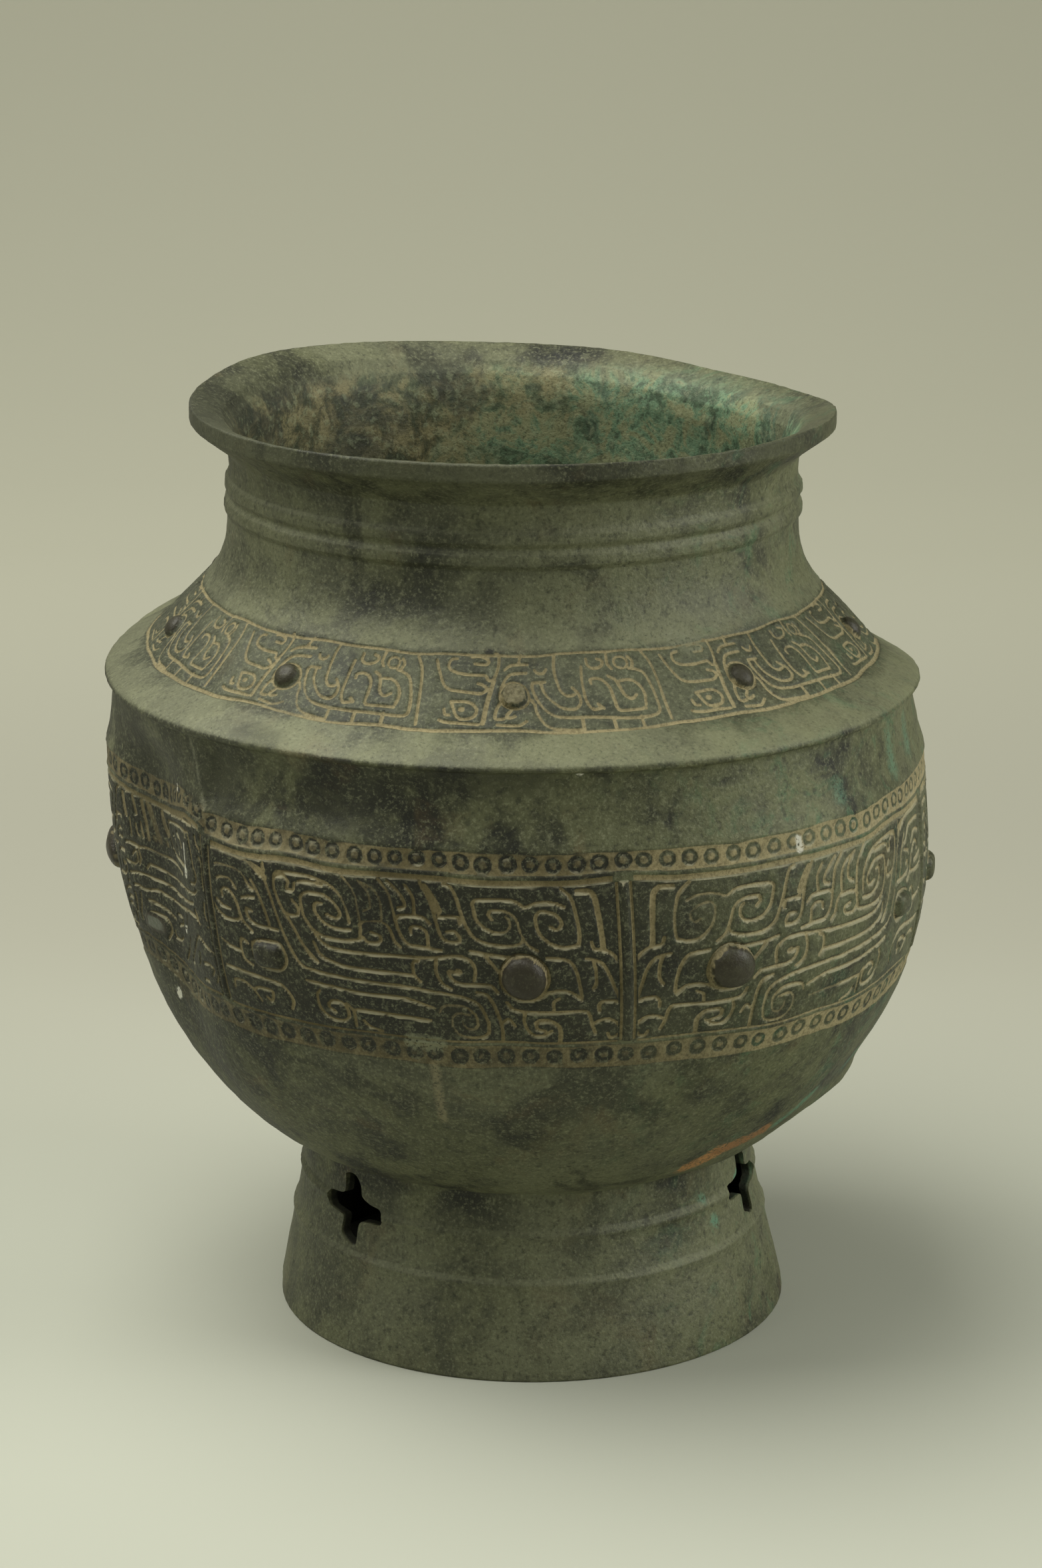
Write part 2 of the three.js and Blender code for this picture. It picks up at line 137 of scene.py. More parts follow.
# -------------------- the carving, as lines in millimetres
# Half a mask: mm from the left seam, and mm below the datum line. "w" gives a line its own width.
MASK_LINES = """
5,9.3 8,8.6 15,8.7 18,10 20,13 22,14.5
1.5,4.4 10,4 18,4.5 22,6 26,9 27.5,7
w2.2 22,5.6 25,7 27.5,9.6
21.5,11 24,15 26,19.5 27.3,24 27.8,27
5.5,14 8,13 12,13 15,16
8.5,20 8,18 10,16.8 13,18 15,21 16,24.5 17,27 20,29.5
5,21.5 8,23.2 12,23.8
3,23.5 5,25.8 9,27.3 14,27 16,26
17.5,18.5 20,17.5 22.5,17
21,22.5 19,22 19,24.5 21,26.3 26,26.8 31,27
4,35.8 8,37 13,37.5
17,34 14.5,33 13.5,36 14.5,40 18,42
19,33.5 22,32 30,31.5 32.5,34 33,38 30,41.5 24,41.5 20,39.5 19,36 19,33.5
4,45.3 15,45.5 27,46.5 31,48.5 33,52 32,55
6,53 7,50 12,49.5 16,51.5 19,55
17,51 20,50 25,50.5 24,54 22,53
27,5 27.5,10 29.5,15 31.5,21 33,27 36,34 39,38 44,39.3 60,40.2 80,41.2 92,42 98,43.5 101.5,46 103.5,52
31.5,9 33,7.3 40,6.9 48,7 53,8.4 56.5,11.5 58.3,16 58.8,20.5
41.5,9.3 45,8.6 50,8.7
32,8 31.5,12 34,18 37,23 40,29 43,34 46,36
35.5,20 38,25 41,31 45.5,35.5
32,8.5 35,8 37.5,10 37,12 39.5,12.3 40,10
39,15.5 41,17.5 41,20 38,20.8 35,20
43,20 42.5,14.5 44.5,12.3 50,11.8 54,14 56,17.5 54.5,19.5 51.5,18.5
50,15 48,15.2 47.5,18 50,21.5 54,23 59,22.8
43,20 45,24 49,26.3 56,26.8 62,26
44,22 46,26 49,29 54,30.2 70,30.4 84,29.5 90,28.6 95,28.3 98.5,30 99.8,33 99.5,36.5
45,29 47,33 52,35 60,36 80,36.6
40,43.3 50,44 60,44.7 75,45 86,47.5
82,31 80,32 80,36 82,38.5
88,29.5 87.5,34 89,38 92,39.8
94,34 91.8,33.3 91.5,34.5 93,36.8 96,37.8 101,38 105,38.5 107.5,41
w2.2 94.3,33.4 94.7,33.6
45,46 43.5,48 44,52 47,55 52,56 55,54 54,50 50,49 47.5,51 50,53
55,49.5 57,52 57,57.5
57,52 60,51 76,51.5 84,52
60,55 62,57 66,58
87.3,49 88.5,46.8 92,45.8 96,46.2 99,48.5 100,51.5 99.3,54 97,54.7 95.3,53.2 95,51.5
97.5,49.3 94,48.6 91.8,50 91.3,53 92.8,56 96,57.5 100.5,57.5 103,56 103.5,52
100.5,40.8 104,42 106,45.5 107,50 107.8,55 108,59.5
108,52 110,50.5 112,53
57,4 61,9 62,15 62.5,21 62,25.5
63,5.5 66,9 66.5,14 64,15.8
64,6 68,8 70,12 70,18
70,4.5 73,9 74,14 75,19 76.5,23 79,25.5 84,25.7 90,26.5
62,21 64,19.5 70,19 72.5,21 74,25 76,27
66,23 69,24 69,26 65,26.7 63,25
73,5 77,9 78.5,12.5 76,13.5
79,6 81.5,10 81.5,15
75,17 77,15.8 84,15.7 87,18
86,25 85.5,21 83,19 80,19.5 80,21.5
84,4.5 87,10 89,17 90.5,22 93,23.8 96.5,23.7
w2.6 85.5,6 88,9.5 90,13.5
90,15.5 96,15.5 97,18
92.5,20.5 95,20.3 96.5,22.5
92,4.5 94.5,5.5 96,9 97.3,14 99,19 101,22.5 105,24.3 111,24.8 115.5,24 116.8,22.3
101.2,12 101,10 102.5,8.8 106,8.4 112,8.4 115,9.3 117.5,11 120,10 123,9.3 127,9.6 130,11
101.2,12 102,16 104.5,19 108,20.3 111,20 112.7,18 112.3,15.5 111.3,14.5
107,15.8 105.8,14 107,12.3 111,12.5 114.5,15 116,20 118,24 121,26.2
125.5,13 122.5,12.5 121,15 122,20 125,23.5 129,24.8 133,24
123.5,12.3 127,13.5 129,16.5 127.5,18.8 125.5,17.8
129,4.7 132,8 133.5,14 134,20 133.5,24
w1.9 134,5.8 137.5,6 139.5,8 140.3,12 140.8,18 141.3,24 141.5,25.5
137.5,23 138.5,25.3 142,25.8 145,27.5 147,30
136,28.5 139.5,29.3 142,31 144,35 145,40 146.5,45 148,48.5
138.5,29.5 139.5,33 139.5,37 138.2,39.5
147,45.2 143.5,43.9 140.5,44 139.2,45.5 139.2,47.5
99,26.8 104,27.8 110,28.5 117,29.3 119.5,29.5
103,28 106,32 109.3,36 110,39 112,42.3 116,43.6 120,42.8 123.5,40.8 128,40 131.5,41 134,43.2
123.5,28.6 128,28.8 131,30 133,33.5 134,38 134.3,42.5
119.5,29.5 122,31 123,34 122.8,38 121.5,41
110,44.3 111.5,46.5 115,47.4 125,47.6 134,47.3 136.2,48.8 137,52 138.5,56
125,46.5 125,44 127,42.8
115.3,48.5 115,51 116.5,54.5 119,56.2 122,56 124.3,54.3
w1.6 119,51.5 120.5,50.5 124,50.7 126.5,52.5 127.3,55 127,59
119,51.5 119.5,53.5 122.5,54.5
138,52 139.5,51 142,50.5 145,52 146.5,54.5 145.8,57 143.5,57.8 142.5,56
"""

# The panel left of the front seam: mm from the seam, and mm below the datum line.
LEFT_LINES = """
68.1,2.9 63.8,2.4 58.3,3.1
49.3,3.5 45.1,3.6 35.9,3.5 18.5,0.2 11.7,-0.4 8,-0.1
w2.6 70.8,4.7 70.1,7.8 69,11.4
w1.8 63.5,4 62.5,7 61.9,9.6
w2.2 58,3.8 56.5,9.4 55.3,15.7 55.2,17.3
w3.4 54,4 51.9,8.4 49.8,12.8 47.9,16.2
w3 44.8,5.7 43.1,9.6 41,12.3
w2.4 51.8,16 50.9,16.6
w2.4 42.6,15.7 42.1,16.4
66.4,12.3 66,15.5 66.1,18.3
62.6,13.6 61.8,16.7 60.5,17.5
59.6,12.3 58.8,15.4 58.2,17.2
71.2,21.8 67.3,21.1 64.2,21.1 62.5,22.3 61.4,25.4 62.5,27.8
76.4,28.8 71,28.7 67.4,28.9 64.6,27.8 63.4,25.9 63.8,23.8 65.3,23.8 66.9,25.4
67.4,21.4 62.3,21.5 57.6,20.9 53.2,20.9 48.5,21.2 42.8,20.9 36.2,20.8 29.9,21.2 22,20.7
58.5,28.5 56.3,26.6 51.8,26.6 46.9,26.9 42.2,27.1 35.3,27.1 25.9,26.2 16.7,25.3 10.9,24.4 8.6,22.9
71.4,33 65.1,31.5 60.1,31.1 55.7,31.2 51.1,31.2 46.1,31.4 41.3,31.8 36.4,32.4 27.3,31.3 18,29.6 13.1,28.5
69.2,36.8 65.6,36.4 62.7,36.8 59.8,36.6 55,35.4 51.4,35.5 47.6,36 41.8,36.6 34.4,36.4 26.6,35.7 28.3,39.3 33.2,43.5
34.4,36.4 18.2,33.3 11.7,33.8 9.6,35.1
61,40.5 57.3,40.4 52.9,41 49.3,41.8 46.4,42.9 44.8,43.5
42.1,41.1 38.9,40.8 36.6,41.8 37.6,43.7 41.3,44.7
47.1,48.7 46.6,50.6 43.7,50.9 40.1,49.1
65.6,39.2 66.7,43.4 69,47.5 68.5,49.5
70.2,40.4 70.5,43.5 71.5,47
66.2,48.9 63.5,46.2 59.5,44.6 54.8,44.5 51.2,45 49.2,46.8 49.5,49.6 52.5,52.6
13.1,40 10.8,40.9 7.7,42.2 3.8,43.4 1.5,44.9 1.6,47.7 2.2,50.7 4.3,54.7
13.1,40 17.6,43.6 21.6,47.6 29.1,53.4 27.5,54.5
27.4,45.1 32.8,50.1 38.5,56.2
15.1,46.7 15.8,49.1 17.6,51.9
12.4,49.7 9.5,49.1 6.3,49.6 5,50.4 6.5,52.4
14.8,56.4 11.2,56.1
39.7,7.1 34.6,6.3 21.8,3.8 15.4,3.5 13.5,5.6
39.7,7.1 39.6,9.8 38.6,12.3 35.8,15.3 31.6,16.8 22.4,16.8 17.7,16.7
33.6,10.1 30.1,11.5 26.6,13.7 24,14.6
26.1,7.2 21,8.3 18.8,10.3
15.5,3.8 10.9,3.1
10.7,4.3 10.4,7.4 9.3,11.4 8.8,14.4 7.6,16.7 7.9,19 9.8,20.8 12.5,21
5.6,3 4.9,5.5 2.8,7.6 1.4,10.1
4.2,10 2.7,12.8 3.1,17.7 3.2,20.4 1.6,21.9
-0.6,6.8 -0.6,11.5 -0.4,18.4
4,26 4.6,29.9 3.7,32.1
3.9,34.6 1,34.4
w2 11.9,30.9 10.8,33.3
"""

# How far its upper and lower rows rise: mm from the seam, and mm up there.
LEFT_TOP_RISE = (
    (0, 3, 7, 13, 22, 37, 47, 56, 65, 78, 110),
    (2, 4, 5, 5.6, 4, 1, 0, 1, 1.5, 2, 0),
)
LEFT_FOOT_RISE = (
    (0, 9, 18, 29, 39, 45, 52, 60, 68, 80, 115),
    (0.3, -0.3, -1, -1.7, -1.5, 0, 2.2, 4.5, 5.5, 4, 0),
)
LEFT_REACH = 73
PANEL_REACH = 115

# One shoulder dragon: mm round the band from the unit's left border, and mm down the slope.
SHOULDER_LINES = """
9,4.5 7,4.8 6.2,6.5 7,8.5 10,9.8 15,10.3 19.5,10.2 20.5,11.8 22,12 23,10 23.8,6 23.5,3 22.3,1.8
1.5,5 3.5,10 6,14.5 9,16.3 14,16.7 18.5,17 20.5,15.5 19.5,14 17.5,13.3
9.3,20.5 14,20.2 16.5,21 17.8,23 17,25.5 14,26.5 11.5,25.5 10,22 9.3,20.5
w1.9 12.8,23 13.2,23
7,23 7.5,25 9,25.3
5.5,27 8,27.8 14,28 18.5,28.3
w1.5 22.5,12 21.5,17 20.5,22 19.8,28
14,3.5 17,3.3 20,4.5 19.5,6.2 15.5,6
26,8 28,6.5 31,6 35,6
32.3,2.5 31.5,5 32.5,6
25,15 26.5,11.5 29,9.5 34.5,9.2
26,19 24,22 23.2,25.5 24,26.5 26,26.3
28,23.5 26.8,25 27.5,26 29.5,25.3
24,28.5 30,28.8 33,27
35,19 36,21 36.5,24 39,28 43,29.5 50,30
37.5,8 38.5,9.3 40.5,9.5 41.5,8
36.3,12.8 36,15 37,19 39,22.5 42,24.7 46,25.5 55,26 66,26.8 73,27 76,26.3 77,24 76.5,18 75,12.5 73,10.5 70,9.5
36.3,12.8 40.5,12.8
39,13 39.8,17 42,20 45,22.3 49,22.8 51.2,21 51,18 49,15.5
44.5,3 44,8 44.3,13 45,16.5 47,18.3 49.5,18
53.5,8 53,13 53,18 53.5,21 55,23.3 57.5,23
58.5,23 57,21.5
56.2,14.3 56,13 58,12.3 60.5,13.2 62.2,16 62.5,20 63,23.7 67,24 72,24
62.5,11.5 64.5,13 65.3,15.5 66,18.5 68,20.2 70,19
66,13.5 69,13.5 71.5,15.5 72.8,19 72.3,23
55.8,5 56,7.5 58,8.7 61,8 62,6 60,5
64,3.5 63.5,7 64.5,9
71,5 72,7 71,9.5
51,26.5 51,30
60.5,26.5 60.5,30
69.5,26.5 69.5,30
76.5,3.5 78.5,8 79.3,14 79.6,20 79.8,29
"""

# The outline of the hole on the left of the foot: mm across and mm up from its middle.
CROSS_OUTLINE = """
-5,11.2 -2.5,12.4 1.5,12 4,8.8 4.8,5.2 9,3.4 13.6,2.6 15.4,0.2 14.6,-2.6 10,-3.1 5.4,-3.7
4.3,-6 4.2,-11 3,-12.6 -0.8,-11.6 -4,-9.4 -4.1,-4.2 -8,-3.5 -13,-2.9 -15,-0.6
-14.4,2.4 -9.4,3.3 -5.2,4.4 -4.6,8
"""


def lines_of(text):
    """The lines of a drawing as (width or None, points)."""
    found = []
    for row in text.strip().splitlines():
        words = row.split()
        width = None
        if words[0].startswith("w"):
            width = float(words.pop(0)[1:])
        found.append((width, np.array([[float(n) for n in word.split(",")] for word in words])))
    return found


def smoothstep(x, low, high):
    t = np.clip((x - low) / (high - low), 0, 1)
    return t * t * (3 - 2 * t)


def between(x, start, whole, ending, end):
    """0 outside start to end, 1 from whole to ending."""
    return smoothstep(x, start, whole) * smoothstep(-x, -end, -ending)


def bump(x, spread):
    return np.exp(-((x / spread) ** 2))


def wrapped(angle):
    return np.arctan2(np.sin(angle), np.cos(angle))


def curve_through(points, step=0.35):
    """Points along a Catmull-Rom curve."""
    if len(points) < 3:
        return points
    padded = np.vstack([2 * points[0] - points[1], points, 2 * points[-1] - points[-2]])
    out = []
    for i in range(1, len(padded) - 2):
        p0, p1, p2, p3 = padded[i - 1 : i + 3]
        count = max(2, int(np.hypot(*(p2 - p1)) / step))
        t = np.linspace(0, 1, count, endpoint=False)[:, None]
        square, cube = 2 * p0 - 5 * p1 + 4 * p2 - p3, 3 * p1 - p0 - 3 * p2 + p3
        out.append(0.5 * (2 * p1 + (p2 - p0) * t + square * t**2 + cube * t**3))
    out.append(points[-1:])
    return np.vstack(out)


class Drawing:
    """Groove depth, 0 to 1, over a rectangle of millimetres."""

    def __init__(self, left, top, right, bottom, cell=0.2):
        self.corner, self.cell = np.array([left, top]), cell
        self.shape = (int((bottom - top) / cell) + 1, int((right - left) / cell) + 1)
        self.depth = np.zeros(self.shape)

    def cut(self, points, width, soft=0.34):
        """Cuts a groove along a line."""
        reach = width / 2 + soft
        for a, b in zip(points[:-1], points[1:]):
            low = (np.minimum(a, b) - reach - self.corner) / self.cell
            high = (np.maximum(a, b) + reach - self.corner) / self.cell
            x0, y0 = np.maximum(0, low.astype(int))
            x1, y1 = np.minimum(self.shape[::-1], high.astype(int) + 2)
            if x1 <= x0 or y1 <= y0:
                continue
            px = self.corner[0] + np.arange(x0, x1) * self.cell
            py = self.corner[1] + np.arange(y0, y1)[:, None] * self.cell
            run = b - a
            t = np.clip(((px - a[0]) * run[0] + (py - a[1]) * run[1]) / max(run @ run, 1e-9), 0, 1)
            away = np.hypot(px - a[0] - t * run[0], py - a[1] - t * run[1])
            part = self.depth[y0:y1, x0:x1]
            np.maximum(part, smoothstep(-away, -width / 2 - soft, -width / 2 + soft), out=part)

    def draw(self, text, width, shift=(0, 0)):
        for own, points in lines_of(text):
            self.cut(curve_through(points + np.array(shift)), own or width)

    def ring(self, x, y, radius, width, corners):
        turn = np.linspace(0, 2 * math.pi, corners)
        self.cut(np.stack([x + radius * np.cos(turn), y + radius * np.sin(turn)], 1), width)

    def at(self, x, y):
        """Depth at points, between cells."""
        fx = np.clip((x - self.corner[0]) / self.cell, 0, self.shape[1] - 1.001)
        fy = np.clip((y - self.corner[1]) / self.cell, 0, self.shape[0] - 1.001)
        ix, iy = fx.astype(int), fy.astype(int)
        tx, ty = fx - ix, fy - iy
        d = self.depth
        above = d[iy, ix] * (1 - tx) + d[iy, ix + 1] * tx
        below = d[iy + 1, ix] * (1 - tx) + d[iy + 1, ix + 1] * tx
        return above * (1 - ty) + below * ty


class Waves:
    """Smooth random waves over azimuth and height, the same at every run."""

    def __init__(self, seed, length, count=26, radius=125.0):
        rng = np.random.default_rng(seed)
        turn = rng.uniform(0, 2 * math.pi, count)
        size = 2 * math.pi / (length * rng.uniform(0.7, 1.7, count))
        self.around = np.round(size * np.cos(turn) * radius)
        self.up = size * np.sin(turn)
        self.phase = rng.uniform(0, 2 * math.pi, count)
        self.scale = math.sqrt(2 / count)

    def at(self, azimuth, z):
        total = np.zeros(np.broadcast(azimuth, z).shape)
        for k, m, p in zip(self.around, self.up, self.phase):
            total += np.sin(k * azimuth + m * z + p)
        return total * self.scale


# -------------------- the plain form
def radius_at(z):
    """Radius of the plain outer wall."""
    z = np.asarray(z, float)
    below = np.clip((BELLY_Z - z) / (BELLY_Z - JOINT_Z), 0, 1)
    swell = (1 - below**BELLY_FULLNESS) ** (1 / BELLY_ROUNDNESS)
    belly = FOOT_NECK_RADIUS + (BELLY_RADIUS - FOOT_NECK_RADIUS) * swell
    above = np.clip((z - BELLY_Z) / (SHOULDER_Z - BELLY_Z), 0, 1)
    upper = BELLY_RADIUS + (WALL_TOP_RADIUS - BELLY_RADIUS) * above**2
    slope = np.interp(
        z, [SHOULDER_Z, BAND_FOOT_Z, BAND_TOP_Z], [SHOULDER_RADIUS, BAND_FOOT_RADIUS, BAND_TOP_RADIUS]
    )
    left = np.clip((FILLET_FOOT_Z - z) / NECK_SWEEP, 0, 1)
    neck = NECK_RADIUS + (BAND_TOP_RADIUS - NECK_RADIUS) * left**NECK_FULLNESS
    foot = np.interp(z, [0, FOOT_NECK_Z], [FOOT_RADIUS, FOOT_NECK_RADIUS])
    return np.select(
        [z <= JOINT_Z, z <= BELLY_Z, z <= SHOULDER_Z, z <= BAND_TOP_Z], [foot, belly, upper, slope], neck
    )


def under_wall(z):
    """Points of the inner wall, one wall's thickness in from the outer one."""
    z = np.asarray(z, float)
    slope = radius_at(z + 0.5) - radius_at(z - 0.5)
    length = np.hypot(1, slope)
    return np.stack([radius_at(z) - WALL / length, z + WALL * slope / length], 1)


def plain(low, high, count):
    z = np.linspace(low, high, count)
    return np.stack([radius_at(z), z], 1)


def raised(z, half, proud, flat=0.0):
    """A rounded ridge round the wall."""
    t = np.linspace(-1, 1, 15)
    lift = np.cos(np.clip((np.abs(t) - flat) / (1 - flat), 0, 1) * math.pi / 2) ** 1.2
    return np.stack([radius_at(z + t * half) + proud * lift, z + t * half], 1)


def profile():
    """The closed outline, from the underside of the floor out, up, over the lip and down to the floor."""
    foot_inside = [
        [0, JOINT_Z],
        [FOOT_NECK_RADIUS - WALL, JOINT_Z + FLOOR_SAG],
        [FOOT_NECK_RADIUS - WALL, FOOT_NECK_Z],
        [FOOT_RADIUS - WALL, 0],
    ]
    fillets = [FILLET_FOOT_Z + FILLET_WIDTH * k for k in (0.5, 1.5)]
    edge, top = SHOULDER_RADIUS, SHOULDER_Z
    outside = np.vstack(
        [
            [[FOOT_RADIUS, 0]],
            *(raised(z, BOWSTRING_HALF, BOWSTRING_PROUD) for z in BOWSTRINGS),
            [[FOOT_NECK_RADIUS, JOINT_Z]],
            plain(JOINT_Z + 0.3, JOINT_Z + 12, 12),
            plain(JOINT_Z + 15, ZONE_TOP_Z, 60),
            [[140.6, top - 20.5], [139.9, top - 14.5], [139.5, top - 8.5], [139.8, top - 2.6]],
            [[edge - 0.9, top - 1.9], [edge, top - 1.0], [edge - 0.6, top + 0.4], [edge - 2.6, top + 1.9]],
            [[BAND_FOOT_RADIUS, BAND_FOOT_Z], [BAND_TOP_RADIUS, BAND_TOP_Z]],
            plain(BAND_TOP_Z + 1, FILLET_FOOT_Z, 16),
            *(raised(z, FILLET_WIDTH / 2 - 0.5, FILLET_PROUD, 0.45) for z in fillets),
            [[NECK_RADIUS, FLARE_Z - 5], [NECK_RADIUS + 0.5, FLARE_Z], [NECK_RADIUS + 3.3, FLARE_Z + 2.8]],
            [[104.6, FLARE_Z + 5.2], [109.2, LIP_FOOT_Z - 1.4], [LIP_RADIUS, LIP_FOOT_Z + 0.3]],
            [[LIP_RADIUS, TOP_Z]],
        ]
    )
    neck_steps = [14, 4, -6.8, -13.8, -19.8, -NECK_SWEEP, -NECK_SWEEP - 20.2]
    neck_in = under_wall(FILLET_FOOT_Z + np.array(neck_steps))
    belly_in = under_wall(BELLY_Z - (BELLY_Z - JOINT_Z) * np.array([0, 0.2, 0.4, 0.55, 0.68, 0.8, 0.9, 0.96]))
    inside = np.vstack(
        [
            [[106, TOP_Z - 1.9], [THROAT_RADIUS, TOP_Z - THROAT_BELOW_LIP]],
            [[97, TOP_Z - 9.5], [94.9, FLARE_Z]],
            neck_in,
            [[WALL_TOP_RADIUS - WALL, SHOULDER_Z - WALL]],
            belly_in,
            [[FOOT_NECK_RADIUS - WALL, JOINT_Z + FLOOR_SAG + WALL], [0, JOINT_Z + WALL]],
        ]
    )
    return np.vstack([foot_inside, outside, inside])


def dense(outline, step=0.1, rounding=0.55):
    """The outline at an even small step, with its corners rounded, and each point's outward normal."""
    run = np.hypot(*np.diff(outline, axis=0).T)
    keep = np.concatenate([[True], run > 1e-6])
    outline = outline[keep]
    along = np.concatenate([[0], np.cumsum(np.hypot(*np.diff(outline, axis=0).T))])
    s = np.arange(0, along[-1], step)
    line = np.stack([np.interp(s, along, outline[:, 0]), np.interp(s, along, outline[:, 1])], 1)
    half = int(4 * rounding / step)
    kernel = np.exp(-((np.arange(-half, half + 1) * step / rounding) ** 2) / 2)
    kernel /= kernel.sum()
    padded = np.vstack([np.repeat(line[:1], half, 0), line, np.repeat(line[-1:], half, 0)])
    line = np.stack([np.convolve(padded[:, k], kernel, "valid") for k in range(2)], 1)
    tangent = np.gradient(line, axis=0)
    tangent /= np.maximum(np.hypot(*tangent.T), 1e-9)[:, None]
    normal = np.stack([tangent[:, 1], -tangent[:, 0]], 1)
    return s, line, normal


# -------------------- relief
def ring_row(z, azimuth, row_z, count, seed):
    """A row of small cast circlets: the depth of their ring grooves."""
    rng = np.random.default_rng(seed)
    radius = float(radius_at(row_z))
    pitch = 2 * math.pi / count
    place = np.arange(count) * pitch + math.radians(SEAM_DEGREES) + pitch / 2
    place += rng.uniform(-0.07, 0.07, count) * pitch
    rise = rng.uniform(-0.3, 0.3, count)
    size = rng.uniform(0.93, 1.07, count)
    proud = rng.uniform(0.6, 1.0, count)
    index = np.floor((azimuth - math.radians(SEAM_DEGREES)) / pitch).astype(int) % count
    gap = wrapped(azimuth - place[index]) * radius
    away = np.hypot(gap, z - row_z - rise[index]) / size[index]
    return bump(away - RING_RADIUS, 0.55) * proud[index]


mask = Drawing(-2, -2, MASK_HALF + 2, 66)
mask.draw(MASK_LINES, 1.25, (0, 0.45))
mask.ring(*EYE, EYE_RADIUS + 0.5, 1.0, 40)

left_panel = Drawing(-3, -3, LEFT_REACH + 3, 64)
left_panel.draw(LEFT_LINES, 1.15)

shoulder = Drawing(-2, -4, UNIT_WIDTH + 2, 36)
shoulder.draw(SHOULDER_LINES, 1.15)
shoulder.draw("w1.0 -2,2.6 30,2.9 60,2.6 84,2.8\nw1.1 -2,30.8 30,30.5 60,30.9 84,30.7", 1.2)
shoulder.ring(*DRAGON_EYE, DRAGON_EYE_RADIUS + 0.7, 0.9, 30)
shoulder.ring(68, 7, 2.2, 0.9, 30)

wear_waves = Waves(3, 34)
fine_waves = Waves(4, 7, 30)
hand_waves = Waves(5, 26)
hand_waves_up = Waves(6, 30)
broad_waves = Waves(7, 75, 20)


def degrees_from(azimuth, degrees):
    return np.degrees(wrapped(azimuth - math.radians(degrees)))


